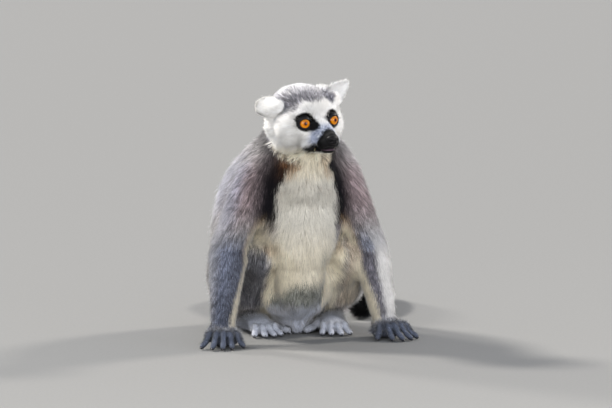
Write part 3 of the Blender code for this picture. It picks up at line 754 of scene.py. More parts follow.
def eye_material():
    """A wet eye: a small pupil, a fibrous amber iris with a darker rim, and a dark white round it."""
    made, tree, shader = new_material(
        "wet_amber_eye", Roughness=0.25, IOR=1.38, Specular_IOR_Level=0.12, Coat_Weight=0.8,
        Coat_Roughness=0.02, Coat_IOR=1.38)
    gaze = node(tree, "ShaderNodeAttribute", {"attribute_name": "gaze"})
    parts = node(tree, "ShaderNodeSeparateXYZ", {}, Vector=gaze.outputs["Vector"])
    across, up = parts.outputs["X"], parts.outputs["Y"]
    flat = node(tree, "ShaderNodeCombineXYZ", {}, X=across, Y=up)
    from_gaze = node(tree, "ShaderNodeVectorMath", {"operation": "LENGTH"}, i0=flat.outputs["Vector"])
    out = from_gaze.outputs["Value"]
    turn = node(tree, "ShaderNodeMath", {"operation": "ARCTAN2"}, i0=up, i1=across)
    spokes = node(tree, "ShaderNodeCombineXYZ", {}, X=turn.outputs["Value"], Y=out)
    stretch = node(tree, "ShaderNodeMapping", {"Scale": (14.0, 2.2, 1.0)}, Vector=spokes.outputs["Vector"])
    fibres = grain(tree, 1.0, 4.0, stretch.outputs["Vector"], Roughness=0.6)
    wander = node(tree, "ShaderNodeMath", {"operation": "MULTIPLY_ADD", 1: 0.05, 2: -0.025}, i0=fibres)
    reach = node(tree, "ShaderNodeMath", {"operation": "ADD"}, i0=out, i1=wander.outputs["Value"])
    rings = node(tree, "ShaderNodeValToRGB", {}, Fac=reach.outputs["Value"])
    elements = rings.color_ramp.elements
    for position, _ in IRIS_RINGS[1:-1]:
        elements.new(position)
    for element, (position, code) in zip(elements, IRIS_RINGS):
        element.position = position
        element.color = (*linear(code), 1)
    # painted shadow of the upper lid: the iris deeper brown towards its top
    toned(tree, shader, rings.outputs["Color"], ranged(tree, up, 0.05, 0.60, 1.0, 0.42))
    return made


# ---------------------------------------------------------------- skin


def solids_of(names, grow=0.0005):
    """Copies of the solids' meshes, merged and grown a little so that they join across their gaps."""
    shapes = []
    for name in names:
        part = bmesh.new()
        part.from_mesh(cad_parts[name].data)
        bmesh.ops.remove_doubles(part, verts=part.verts, dist=1e-5)
        part.normal_update()
        for v in part.verts:
            v.co += v.normal * grow
        shapes.append(part)
    return joined("flesh", shapes)


def eye_centre(side):
    return Vector((side * EYE_SPACING / 2, -0.0243, -0.0060))


def eye_frame(side):
    """The eye's own frame in the head: Z along its gaze, Y up."""
    splay = math.radians(EYE_SPLAY)
    gaze = Vector((side * math.sin(splay), -math.cos(splay), 0.02)).normalized()
    up = (Vector((0, 0, 1)) - gaze * gaze.z).normalized()
    return Matrix.Translation(eye_centre(side)) @ upright(up.cross(gaze), up, gaze)


MUZZLE = [
    (0, -0.012, -0.0090, 0.0200, 0.0180), (0, -0.032, -0.0160, 0.0158, 0.0140),
    (0, -0.044, -0.0212, 0.0120, 0.0112), (0, -0.0535, -0.0245, 0.0095, 0.0090),
]
JAW = [
    (0, -0.020, -0.0345, 0.0122, 0.0062), (0, -0.032, -0.0354, 0.0112, 0.0056),
    (0, -0.0495, -0.0362, 0.0074, 0.0040),
]
THROAT = [(0, -0.008, -0.0330, 0.0170, 0.0095), (0, -0.028, -0.0345, 0.0136, 0.0078)]
EAR_LOBE = [  # the thick folded front of the right ear
    (-0.0318, -0.0005, 0.0100, 0.0062, 0.0050), (-0.0350, 0.0070, 0.0096, 0.0102, 0.0060),
    (-0.0390, 0.0150, 0.0096, 0.0106, 0.0050), (-0.0432, 0.0210, 0.0100, 0.0078, 0.0036),
]
# The head's masses at skin level: centre, radii, and the depth of the fur that each is slimmed by. The paired
# ones are given for the left
MIDDLE_MASSES = [
    ((0, 0.010, 0.003), (0.0365, 0.0385, 0.0310), 0.0040),
    ((0, -0.014, 0.004), (0.0275, 0.0190, 0.0190), 0.0022),
    ((0, 0.002, -0.022), (0.0290, 0.0300, 0.0200), 0.0055),
    ((0, -0.022, -0.008), (0.0115, 0.0160, 0.0130), 0.0010),
]
PAIRED_MASSES = [
    ((0.0235, -0.008, -0.0120), (0.0190, 0.0220, 0.0230), 0.0048),
    ((0.0240, 0.014, -0.0080), (0.0195, 0.0220, 0.0250), 0.0062),
    ((0.0180, 0.004, -0.0270), (0.0195, 0.0220, 0.0185), 0.0062),
    ((0.0175, -0.0185, 0.0050), (0.0130, 0.0112, 0.0092), 0.0012),
    ((0.0165, -0.0200, -0.0140), (0.0125, 0.0130, 0.0105), 0.0012),
    ((0.0120, -0.0285, -0.0255), (0.0085, 0.0125, 0.0095), 0.0),
]
LEFT_TEMPLE = ((0.0245, -0.0100, 0.0100), (0.0125, 0.0130, 0.0115))
LEFT_EAR_ROOT = ((0.0275, 0.0085, 0.0165), (0.0105, 0.0125, 0.0115))


def head_masses():
    shapes = [blob(*mass) for mass in MIDDLE_MASSES]
    shapes += [loft(MUZZLE, per_span=6, sides=32, slim=0.0006), loft(THROAT, sides=28, slim=0.0004)]
    for side in SIDES.values():
        shapes += [blob((side * x, y, z), radii, slim) for (x, y, z), radii, slim in PAIRED_MASSES]
    shapes.append(blob(*LEFT_TEMPLE))
    shapes.append(loft(EAR_LOBE, across=(0.2, -0.1, 1.0), per_span=6, sides=28))
    shapes.append(blob(*LEFT_EAR_ROOT))
    return [moved(shape, HEAD) for shape in shapes]


def lip_masses():
    """What stands out finely on the smooth head: the jaw, the whisker pads and the sides of the nose."""
    shapes = [loft(JAW, per_span=6, sides=28, slim=0.0004)]
    shapes.append(blob((0, -0.0540, -0.0218), (0.0076, 0.0070, 0.0064)))
    for side in SIDES.values():
        shapes.append(blob((side * 0.0066, -0.0478, -0.0272), (0.0056, 0.0096, 0.0064)))
    return [moved(shape, HEAD) for shape in shapes]


def ear_frame(root, tip, faces):
    up = (Vector(tip) - Vector(root)).normalized()
    back = -Vector(faces)
    back = (back - up * back.dot(up)).normalized()
    return Matrix.Translation(root) @ upright(back.cross(up), back, up)


# Each ear's frame, then its half width, how pointed it is and how long. The left is pricked, the right laid
# aside
EAR_FRAMES = {
    "left": ear_frame((0.0300, 0.008, 0.0100), (0.0640, 0.004, 0.0320), (0.20, -0.95, 0.1)),
    "right": ear_frame((-0.0250, 0.005, 0.0030), (-0.0450, 0.024, 0.0115), (-0.53, -0.85, 0.1)),
}
EAR_SHAPES = {"left": (0.0118, 0.72, 0.0378), "right": (0.0130, 0.50, 0.0290)}


def ear_shape(place, half_width, point, length):
    """A thin cupped leaf, broad near its root, whose rim curls forward at both sides."""
    rows, columns = 26, 21
    shape = bmesh.new()
    corners = []
    for i in range(rows):
        t = i / (rows - 1)
        height = -0.009 + (length + 0.006) * t
        taper = max(1 - (max(t - 0.30, 0) / 0.72) ** 1.6, 0.02) ** point
        width = half_width * taper * (0.8 + 0.2 * min(t / 0.3, 1.0))
        for layer in (0, 1):
            for j in range(columns):
                s = 2 * j / (columns - 1) - 1
                cup = 0.0050 * s * s * (1 - 0.45 * t) - 0.0022 * (1 - t)
                half = 0.0011 * (1 - abs(s) ** 6) * (1 - 0.5 * t) + 0.00030
                y = 0.0008 - cup + (half if layer else -half) - 0.0012 * math.sin(math.pi * t)
                corners.append(shape.verts.new((s * width, y, height)))

    def face(*spots):
        shape.faces.new([corners[(2 * i + layer) * columns + j] for layer, i, j in spots])

    for i in range(rows - 1):
        for j in range(columns - 1):
            face((0, i, j), (0, i, j + 1), (0, i + 1, j + 1), (0, i + 1, j))
            face((1, i, j), (1, i + 1, j), (1, i + 1, j + 1), (1, i, j + 1))
    rim = [(0, j) for j in range(columns)] + [(i, columns - 1) for i in range(1, rows)]
    rim += [(rows - 1, j) for j in range(columns - 2, -1, -1)] + [(i, 0) for i in range(rows - 2, 0, -1)]
    for a, b in zip(rim, rim[1:] + rim[:1]):
        face((0, *b), (0, *a), (1, *a), (1, *b))
    bmesh.ops.recalc_face_normals(shape, faces=shape.faces)
    return moved(shape, place)


# Fingers and toes: (degrees outwards, share of the longest, the root's place across)
FINGERS = (
    (-38.0, 0.74, -0.0115), (-10.0, 0.90, -0.0075), (1.0, 1.00, -0.0020), (12.0, 1.00, 0.0045),
    (30.0, 0.86, 0.0105),
)
TOES = ((-12.0, 0.84, -0.0100), (-2.0, 0.95, -0.0035), (8.0, 1.00, 0.0035), (20.0, 0.88, 0.0100))
PALM_LENGTH, FINGER_REACH, KNUCKLE_HEIGHT, FINGER_RADIUS = 0.022, 0.029, 0.0165, 0.0034
TOE_LENGTH, TOE_RADIUS = 0.027, 0.0038
HEEL, BALL = 0.012, 0.012 - 0.066
# Along a digit, from the knuckle over two joints to a broad pad: share of its length, lift in arches, size in
# radii
DIGIT_STEPS = (
    (-0.08, 0.0, 1.0), (0.0, 0.25, 1.14), (0.20, 0.9, 0.92), (0.38, 1.0, 1.06), (0.56, 0.35, 0.86),
    (0.72, -0.1, 0.96), (0.86, 0.0, 0.98), (1.0, 0.0, 0.84),
)


def digit_line(knuckle, heading, length, radius, arch):
    """The stations of a digit, and the way across it."""
    ahead = Vector((math.sin(heading), -math.cos(heading), 0))
    rest = radius * 0.95
    rows = []
    for share, lift, size in DIGIT_STEPS:
        height = knuckle[2] + (rest - knuckle[2]) * max(share, 0) ** 1.3 + lift * arch
        point = Vector((knuckle[0], knuckle[1], 0)) + ahead * length * share
        rows.append((point.x, point.y, max(height, rest), radius * size, radius * size * 0.95))
    return rows, (math.cos(heading), math.sin(heading), 0)


def hand_digits(side):
    made = []
    for angle, share, across in FINGERS:
        back = 0.008 if angle < -30 else 0.40 * abs(across)
        knuckle = (side * across, -PALM_LENGTH + back, KNUCKLE_HEIGHT - 0.16 * abs(across))
        heading, length = side * math.radians(angle), FINGER_REACH * share
        made.append(digit_line(knuckle, heading, length, FINGER_RADIUS, 0.0040))
    return made


def foot_digits(side):
    made = []
    for angle, share, across in TOES:
        root = (side * across, BALL + 0.3 * abs(across), 0.0100)
        made.append(digit_line(root, side * math.radians(angle), TOE_LENGTH * share, TOE_RADIUS, 0.0035))
    root = (-side * 0.0085, BALL + 0.026, 0.0100)
    made.append(digit_line(root, side * math.radians(-42.0), 0.034, 0.0050, 0.0020))
    return made


def end_frame(joint, turn):
    """A hand's or foot's frame: on the floor under its joint, with -Y towards the digits."""
    return Matrix.Translation((*joint[:2], 0)) @ Matrix.Rotation(math.radians(turn), 4, "Z")


def hand_frame(name):
    return end_frame(WRIST[name], HAND_TURN[name])


def foot_frame(name):
    return end_frame(ANKLE[name], FOOT_TURN[name])


PALM = [
    (0, 0.004, 0.052, 0.0118, 0.0112), (0, 0.002, 0.034, 0.0120, 0.0112), (0, -0.002, 0.019, 0.0134, 0.0114),
    (0, -0.009, 0.0110, 0.0150, 0.0108),
]
SOLE = [
    (0, HEEL, 0.0085, 0.0086, 0.0078), (0, HEEL - 0.020, 0.0108, 0.0115, 0.0106),
    (0, BALL + 0.018, 0.0115, 0.0148, 0.0100), (0, BALL, 0.0082, 0.0158, 0.0080),
]
LOW_SHIN = [(0, 0.000, 0.040, 0.0115, 0.0120), (0, -0.002, 0.012, 0.0118, 0.0142)]


def digit_shapes(digits):
    return [loft(rows, across=across, per_span=3, sides=16) for rows, across in digits]


def hand_shapes(name):
    side = SIDES[name]
    shapes = [
        loft(PALM),
        blob((0, -0.010, 0.0090), (0.0158, 0.0145, 0.0095)),
        blob((side * 0.001, -0.0165, 0.0120), (0.0158, 0.0088, 0.0078)),
        blob((-side * 0.010, -0.006, 0.0068), (0.0070, 0.0090, 0.0068)),
    ]
    return [moved(shape, hand_frame(name)) for shape in shapes + digit_shapes(hand_digits(side))]


def foot_shapes(name):
    shapes = [loft(SOLE), loft(LOW_SHIN)] + digit_shapes(foot_digits(SIDES[name]))
    return [moved(shape, foot_frame(name)) for shape in shapes]


BELLY = [  # what joins the chest's lower edge to the lap: (x, y, z, half width, half depth)
    (0.001, -0.0860, 0.1020, 0.0265, 0.0240), (0.001, -0.0835, 0.0860, 0.0262, 0.0240),
    (0.001, -0.0775, 0.0700, 0.0250, 0.0235), (0.001, -0.0680, 0.0550, 0.0225, 0.0215),
    (0.001, -0.0560, 0.0420, 0.0190, 0.0190),
]
NAPE = ((-0.004, -0.121, 0.257), (0.021, 0.021, 0.018))


def build_skin():
    """The skin, and the solids' own outer shape that the coat grows out to."""
    outer = fused(solids_of(BODY_NODES + HEAD_NODES), BODY_GRAIN, 3)
    body = fused(solids_of(BODY_NODES), BODY_GRAIN, 7)
    points = coordinates(body.data)
    place_points(body.data, points - vertex_normals(body.data) * coat_at(points)[0][:, None])
    baked(modified(body, "SMOOTH", iterations=4))
    head = fused(joined("head", head_masses()), HEAD_GRAIN, 9)
    shapes = [loft(BELLY, sides=28), blob(*NAPE)] + lip_masses()
    shapes += [ear_shape(HEAD @ EAR_FRAMES[name], *EAR_SHAPES[name]) for name in SIDES]
    for name in SIDES:
        shapes += hand_shapes(name) + foot_shapes(name)
    whole = bmesh.new()
    for piece in (body, head, joined("extremities", shapes)):
        whole.from_mesh(piece.data)
        bpy.data.objects.remove(piece)
    skin = fused(linked("skin", mesh_of("skin", whole)), SKIN_GRAIN, 2)
    skin.data.calc_loop_triangles()
    share = min(1.0, SKIN_TRIANGLES / len(skin.data.loop_triangles))
    baked(modified(skin, "DECIMATE", ratio=share, use_collapse_triangulate=True))
    refine_muzzle(skin)
    points = around_eyes(mouth_cut(coordinates(skin.data), vertex_normals(skin.data)))
    points[:, 2] = np.maximum(points[:, 2], LOWEST_SKIN)
    place_points(skin.data, points)
    skin.data.shade_smooth()
    return skin, outer


def refine_muzzle(skin):
    """Splits the muzzle's triangles, so that the lips' line can be cut finely."""
    shape = bmesh.new()
    shape.from_mesh(skin.data)
    x, y, z = in_head(np.array([v.co for v in shape.verts])).T
    near = (y < -0.012) & (np.abs(z - mouth_height(y)) < 0.006) & (np.abs(x) < 0.02)
    edges = [e for e in shape.edges if near[e.verts[0].index] and near[e.verts[1].index]]
    bmesh.ops.subdivide_edges(shape, edges=edges, cuts=2, use_grid_fill=False)
    bmesh.ops.triangulate(shape, faces=[f for f in shape.faces if len(f.verts) > 3])
    shape.to_mesh(skin.data)
    shape.free()


def mouth_cut(points, normals):
    """Presses a groove between the lips from one corner of the mouth to the other."""
    x, y, z = in_head(points).T
    off = (z - mouth_height(y)) / 0.00075
    depth = 0.0020 * np.exp(-off**2) * ramp(-y, 0.014, 0.020)
    outside = ramp(np.hypot(x / 0.0085, (y + 0.030) / 0.020), 0.5, 0.8)
    return points - normals * (depth * outside)[:, None]


def round_eye(points, side):
    """The points in an eye's own frame, how far they are from its centre, and their two angles from its
    gaze."""
    place = np.array(HEAD @ eye_frame(side))
    local = (points - place[:3, 3]) @ place[:3, :3]
    far = np.linalg.norm(local, axis=1)
    polar = np.degrees(np.arccos(np.clip(local[:, 2] / np.maximum(far, 1e-9), -1, 1)))
    return local, far, polar, np.arctan2(local[:, 1], local[:, 0] * side)


def around_eyes(points):
    """Lays the skin behind the eyeball inside the lids' opening and round the ball outside it."""
    for side in SIDES.values():
        place = np.array(HEAD @ eye_frame(side))
        local, far, polar, turn = round_eye(points, side)
        opening = lid_reach(turn) + 12
        inside = (far < EYE_RADIUS + 0.0030) & (polar < opening)
        beside = (polar >= opening) & (far < EYE_RADIUS + 0.0009)
        size = np.where(inside, 0.0066, np.where(beside, EYE_RADIUS + 0.0009, far))
        local *= (size / np.maximum(far, 1e-9))[:, None]
        points = local @ place[:3, :3].T + place[:3, 3]
    return points


def lid_reach(turn):
    """How far from the gaze the lids' edge lies, in degrees, at each turn round the eye (0 is outwards)."""
    x, y = np.cos(turn), np.sin(turn)
    wide = np.where(x > 0, 46.0, 50.0)
    high = np.where(y > 0, 33.0, 37.0)
    power = np.where(x > 0, 2.1, 1.75)
    return (np.abs(x / wide) ** power + np.abs(y / high) ** power) ** (-1 / power)


def far_off(points, centre, radii):
    """How far points are from a ball's centre, in its radii."""
    return np.linalg.norm((points - centre) / radii, axis=1)


def regions(points):
    """How much each point belongs to the head, the ears and the hands and feet."""
    h = in_head(points)
    head = 1 - ramp(far_off(h, (0, -0.002, -0.006), (1.0, 1.15, 0.92)), 0.045, 0.054)
    head = np.maximum(head, 1 - ramp(far_off(h, (0, -0.040, -0.024), (1, 1.6, 1)), 0.020, 0.026))
    ears = np.zeros(len(points))
    beyond = ramp(far_off(h, (0, 0.010, 0.003), (0.0335, 0.0355, 0.0285)), 0.98, 1.04)
    for place in EAR_FRAMES.values():
        x, y, z = within(points, HEAD @ place).T
        inside = (np.abs(x) < 0.020) & (np.abs(y) < 0.0075) & (z < 0.050)
        ears = np.maximum(ears, inside * ramp(z, -0.002, 0.004) * beyond)
    lobe = far_off(h, (-0.0365, 0.0085, 0.0096), (0.0200, 0.0165, 0.0120))
    ears = np.maximum(ears, (1 - ramp(lobe, 0.95, 1.06)) * ramp(-h[:, 0], 0.0295, 0.0310))
    ends = coat_at(points)[8] * (1 - head)
    return np.maximum(head, ears), ears, ends


def coat_colours(points, parts):
    """The coat's colour at points whose shares of head, ears and hands and feet are given."""
    head, ears, ends = parts
    bone, share = coat_at(points)[5:7]
    colour = body_colours(points, bone, share)
    face = mix(head_colours(points), WHITE, ramp(ears, 0.0, 0.2))
    colour = colour * (1 - head[:, None]) + face * head[:, None]
    foot = on_bone(bone, "foot")
    paw = np.where(foot[:, None], FOOT_GREY, HAND_GREY)
    paw = mix(paw, PAD_GREY, 1 - ramp(points[:, 2], 0.0015, np.where(foot, 0.005, 0.007)))
    return colour * (1 - ends[:, None]) + paw * ends[:, None]


def add_colours(mesh, name, colours):
    layer = mesh.color_attributes.new(name, "FLOAT_COLOR", "POINT")
    opaque = np.hstack([colours, np.ones((len(colours), 1))])
    layer.data.foreach_set("color", opaque.astype(np.float32).ravel())


# ---------------------------------------------------------------- coat


def triangles_of(mesh):
    mesh.calc_loop_triangles()
    corners = np.empty(len(mesh.loop_triangles) * 3, np.int32)
    mesh.loop_triangles.foreach_get("vertices", corners)
    return corners.reshape(-1, 3)


def roots_on(skin, per_mm2, carried):
    """Roots spread over the skin, as many to each square millimetre as per_mm2 gives for its triangles. The
    values carried by the skin's points are read off at each root."""
    points, normals, corners = coordinates(skin.data), vertex_normals(skin.data), triangles_of(skin.data)
    a, b, c = (points[corners[:, k]] for k in range(3))
    area = 0.5 * np.linalg.norm(np.cross(b - a, c - a), axis=1) * 1e6
    centre = (a + b + c) / 3
    wanted = area * per_mm2(centre, [values[corners].mean(1) for values in carried])
    order = np.lexsort((centre[:, 0] // 0.004, centre[:, 1] // 0.004, centre[:, 2] // 0.004))
    total = np.cumsum(wanted[order])
    picks = np.arange(0.5, total[-1], 1.0)
    picks = picks + rng.uniform(-0.4, 0.4, len(picks))
    chosen = order[np.clip(np.searchsorted(total, picks), 0, len(order) - 1)]
    share = rng.random((len(chosen), 2))
    flip = share.sum(1) > 1
    share[flip] = 1 - share[flip]
    share = np.stack([1 - share.sum(1), share[:, 0], share[:, 1]], 1)[:, :, None]
    place = (points[corners[chosen]] * share).sum(1)
    up = unit((normals[corners[chosen]] * share).sum(1))
    return place, up, [(values[corners[chosen]] * share[:, :, 0]).sum(1) for values in carried]


# A bent tuft is a spindle: its root r, the corners d, e and f round its bend, and its tip t. A straight one
# has a, b and c round its root. Each face has three corners and the strip of the tuft's patch that it is on.
BENT = [("red", 0), ("det", 0), ("rfe", 1), ("eft", 1), ("rdf", 2), ("fdt", 2)]
STRAIGHT = [("abt", 0), ("bct", 1), ("cat", 2), ("bac", 3)]


def strip(root, left, right, letters):
    """Where a strip of the patch has the root, the left and right corners at root and bend, and the tip."""
    a, b, d, e = letters
    sides = {a: (left, 0.0), b: (right, 0.0), d: (left, 0.4), e: (right, 0.4)}
    return {"r": (root, 0.0), "t": (root, 1.0), **sides}


PATCH = [
    strip(0.25, 0.0, 0.5, "abde"), strip(0.62, 0.5, 0.75, "bcef"), strip(0.87, 0.75, 1.0, "cafd"),
    {"b": (0.94, 0.9), "a": (1.0, 0.9), "c": (0.97, 1.0)},
]
PATCH_SIZE = 0.003
LEAN = {"a": -0.45, "d": -0.45, "b": 0.45, "e": 0.45}  # how far the shading leans out at a tuft's sides


def tuft_corners(root, up, lie, length, width, lift, bent):
    """The corners of tufts that leave the skin at an angle, bend over along the lie and end in a point."""
    side = unit(np.cross(lie, up))
    low, high = np.radians(lift * 1.40)[:, None], np.radians(lift * 0.55)[:, None]
    base = root - up * 0.0005
    half = (width * 0.5)[:, None]
    reach = length[:, None]
    if bent:
        first = np.cos(low) * lie + np.sin(low) * up
        last = np.cos(high) * lie + np.sin(high) * up
        bend = base + reach * 0.42 * first
        under = unit(np.cross(side, first + last))
        return side, {"r": base, "d": bend - side * half, "e": bend + side * half,
                      "f": bend - under * half * 0.8, "t": bend + reach * 0.58 * last}
    tip = base + reach * (np.cos(0.7 * low) * lie + np.sin(0.7 * low) * up)
    back = base - up * half + lie * half * 0.5
    return side, {"a": base - side * half, "b": base + side * half, "c": back, "t": tip}


def tuft_piece(name, root, up, lie, length, width, lift, colour, spot, bent):
    """A mesh of tufts. spot is each tuft's place on the unwrap, where it gets a patch of its own."""
    count = len(root)
    side, corners = tuft_corners(root, up, lie, length, width, lift, bent)
    names = sorted(corners)
    verts = np.stack([corners[k] for k in names], 1)
    verts[:, :, 2] = np.maximum(verts[:, :, 2], 0.0003 + 0.0006 * rng.random((count, 1)))
    normals = [unit(up + side * LEAN.get(k, 0.0) + lie * (0.15 if k == "t" else 0.0)) for k in names]
    normals = np.stack(normals, 1).reshape(-1, 3)
    parts = BENT if bent else STRAIGHT
    faces = np.array([[names.index(k) for k in face] for face, _ in parts])
    steps = np.array([[PATCH[row][k] for k in face] for face, row in parts])
    index = (np.arange(count)[:, None, None] * len(names) + faces[None]).reshape(-1)
    mesh = bpy.data.meshes.new(name)
    mesh.vertices.add(count * len(names))
    place_points(mesh, verts)
    mesh.loops.add(len(index))
    mesh.loops.foreach_set("vertex_index", index.astype(np.int32))
    mesh.polygons.add(len(index) // 3)
    mesh.polygons.foreach_set("loop_start", np.arange(0, len(index), 3, dtype=np.int32))
    mesh.update(calc_edges=True)
    patch = spot[:, None, None, :] + PATCH_SIZE * (steps[None] - 0.5)
    layer = mesh.uv_layers.new(name="OFBake")
    layer.uv.foreach_set("vector", np.clip(patch, 0, 1).astype(np.float32).ravel())
    light = colour.mean(1)
    root_tone = 0.50 + 0.34 * ramp(light, 0.1, 0.7)
    tip_tone = 1.38 - 0.28 * ramp(light, 0.2, 0.7)
    tones = {"t": tip_tone, "d": np.ones(count), "e": np.ones(count), "f": np.full(count, 0.85)}
    tone = np.stack([tones.get(k, root_tone) for k in names], 1)
    add_colours(mesh, "coat", (colour[:, None, :] * tone[:, :, None]).reshape(-1, 3))
    mesh.shade_smooth()
    mesh.normals_split_custom_set_from_vertices(normals.astype(np.float32))
    mesh.materials.append(FUR)
    return linked(name, mesh)


def room_round(skin, outer):
    """For every point of the skin: how far out the solids' shape lies, and how far off the next part of the
    body is."""
    points, normals = coordinates(skin.data), vertex_normals(skin.data)
    shell = BVHTree.FromObject(outer, bpy.context.evaluated_depsgraph_get())
    own = BVHTree.FromObject(skin, bpy.context.evaluated_depsgraph_get())
    farthest = 0.03
    reach, room = np.empty(len(points)), np.empty(len(points))
    for i, (point, normal) in enumerate(zip(points, normals)):
        start, out = Vector(point), Vector(normal)
        hit = shell.ray_cast(start, out, farthest)[3]
        reach[i] = shell.find_nearest(start)[3] if hit is None else hit
        near = own.ray_cast(start + out * 0.0012, out, farthest)[3]
        room[i] = farthest if near is None else near
    return reach, room


def combed(root, up, lie, length, clump, pull, sway):
    """The lie along the surface, with each tuft drawn towards its lock and swayed a little to one side."""
    tree = KDTree(len(clump))
    for i, point in enumerate(clump):
        tree.insert(point, i)
    tree.balance()
    nearest = np.array([tree.find(point)[1] for point in root])
    lie = flattened(lie, up)
    draw = (clump[nearest] - root) * pull
    lie = flattened(lie * length[:, None] + draw, up)
    side = np.cross(lie, up)
    turn = np.radians(sway) * (rng.standard_normal(len(root)) + 1.2 * ripple(clump[nearest], 0.03, 1.0))
    return unit(lie * np.cos(turn)[:, None] + side * np.sin(turn)[:, None]), nearest


def head_lie(h):
    """On the head the fur runs back from the nose, over the crown and down the cheeks."""
    way = h - np.array((0, -0.062, -0.022))
    way[:, 2] -= 0.010 * ramp(-h[:, 2], -0.005, 0.02) + 0.030 * ramp(-h[:, 2], 0.016, 0.034)
    return unit(way) @ np.array(HEAD)[:3, :3].T


FUR = fur_material()
SKIN = skin_material()


def keep(obj, *nodes, slot=None):
    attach(obj, "root")
    if nodes:
        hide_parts(*nodes)
    return obj


def face_share(h, head):
    """How much each point belongs to the face, in front of the ears."""
    return head * ramp(-h[:, 1], -0.012, 0.006)


def tufts_per_mm2(points, carried):
    """How many tufts grow on a square millimetre: none on the nose, the eyes or where two parts touch."""
    room = carried[1]
    head, ears, ends = regions(points)
    h = in_head(points)
    rate = coat_at(points)[3] * (1 - head) + head * (1.50 + 1.25 * face_share(h, head))
    rate = np.where(ears > EAR_EDGE, 4.0, rate)
    rate = rate * np.where(ends > HALF, ramp(points[:, 2], 0.005, 0.010), 1.0)
    bare = ramp(-h[:, 1], 0.0505, 0.0535) * head
    for side in SIDES.values():
        far, polar, turn = round_eye(points, side)[1:]
        bare = np.maximum(bare, (far < 0.0125) & (polar < lid_reach(turn) + 8))
    return (FULL_COAT) * rate * (1 - bare) * ramp(room, 0.0025, 0.0060)


def size_tufts(coat):
    """Short fine fur on the face, shorter still round the eyes, longer on the cheeks and under the jaw."""
    head, h = coat.head, coat.h
    near_eye = np.minimum(*[np.linalg.norm(h - np.array(eye_centre(s)), axis=1) for s in SIDES.values()])
    snout = ramp(-h[:, 1], 0.020, 0.040)
    cheek = ramp(np.abs(h[:, 0]), 0.020, 0.031) * ramp(-h[:, 2], -0.012, 0.008)
    length = (8.5 - 3.0 * ramp(-h[:, 1], -0.010, 0.012) - 2.8 * snout + 3.5 * cheek) * MM
    length *= 0.34 + 0.66 * ramp(near_eye, 0.0100, 0.0175)
    ruff = ramp(-h[:, 2], 0.020, 0.034) * ramp(h[:, 1], -0.034, -0.016)
    length += 4.5 * MM * ruff
    coat.length = coat.length * (1 - head) + length * head
    coat.width = coat.width * (1 - head) + (0.85 - 0.32 * coat.face + 0.15 * cheek) * MM * head
    coat.length = np.where(coat.on_ears, 0.0070, coat.length)
    coat.width = np.where(coat.on_ears, 0.00055, coat.width)


def lay_tufts(coat):
    """The lie: back over the head, fanned on the ears, parted down the breast and hanging at the throat."""
    root, head, lie = coat.root, coat.head, coat.lie
    lie = unit(unit(lie) * (1 - head[:, None]) + head_lie(coat.h) * head[:, None])
    for place in EAR_FRAMES.values():
        matrix = np.array(HEAD @ place)
        local = (root - matrix[:3, 3]) @ matrix[:3, :3]
        near = (coat.ears > 0) & (np.linalg.norm(local, axis=1) < 0.055)
        fan = np.stack([local[:, 0] * 0.9, np.zeros(coat.count), np.full(coat.count, 0.012)], 1)
        lie[near] = unit(fan @ matrix[:3, :3].T)[near]
    front = on_bone(coat.bone, "spine") & (coat.up[:, 1] < -0.3) & (head < HALF)
    off = root[front, 0] + 0.001 + 0.003 * ripple(root[front], 0.031, 0.6)
    part = np.clip(off / 0.005, -1, 1) * 0.30 * np.exp(-np.abs(off) / 0.016)
    lie[front] = unit(lie[front] + np.array([0, -0.2, -1.1]) + part[:, None] * (1, 0, 0))
    coat.throat = ramp(root[:, 2], 0.205, 0.225) * ramp(-root[:, 1], 0.110, 0.130) * (1 - head)
    hang = np.array([0, 0.3, -3.0]) * coat.throat[:, None]
    coat.lie = unit(lie + np.array([0, 0, -0.12]) * (1 - head[:, None]) + hang)


def raise_tufts(coat, reach, room):
    """Stands the tufts up far enough to reach the outer shape, and less where another part is near."""
    root, head, ends, throat, length = coat.root, coat.head, coat.ends, coat.throat, coat.length
    reach = np.where(coat.on_ears, 0.0026, (reach + 0.0005) * (1 - ends) + 0.0011 * ends)
    shoulder = np.exp(-((root[:, 2] - 0.232) / 0.026) ** 2)
    reach = reach - 0.0038 * shoulder * ramp(-root[:, 0], 0.030, 0.042) * (1 - head)
    reach = reach * (1 - 0.5 * throat)
    belly = (root[:, 1] < -0.072) & (np.abs(root[:, 0]) < 0.028) & (np.abs(root[:, 2] - 0.073) < 0.030)
    reach = np.where(belly, np.clip(reach, 0.0060, 0.0080), reach)
    wanted = np.clip(np.minimum(reach, 0.55 * room) - 0.0004, 0.0006, 0.020)
    length = np.maximum(length, wanted * 1.25)
    coat.lift = np.degrees(np.arcsin(np.clip(wanted / length, 0.05, 0.80)))
    coat.length = np.where(throat > 0.3, np.minimum(length, 0.013), length)


def vary_tufts(coat):
    """No two tufts alike, and one in ten a longer, thinner guard hair that stands higher."""
    coat.length = coat.length * rng.uniform(0.80, 1.16, coat.count)
    coat.width = coat.width * rng.uniform(0.8, 1.2, coat.count)
    coat.lift = coat.lift * rng.uniform(0.80, 1.20, coat.count)
    guard = rng.random(coat.count) < 0.10 * (1 - 0.7 * coat.head)
    coat.length[guard] *= 1.12
    coat.lift[guard] *= 1.30
    coat.width[guard] *= 0.60
    coat.lift = np.clip(coat.lift, 4, 62)


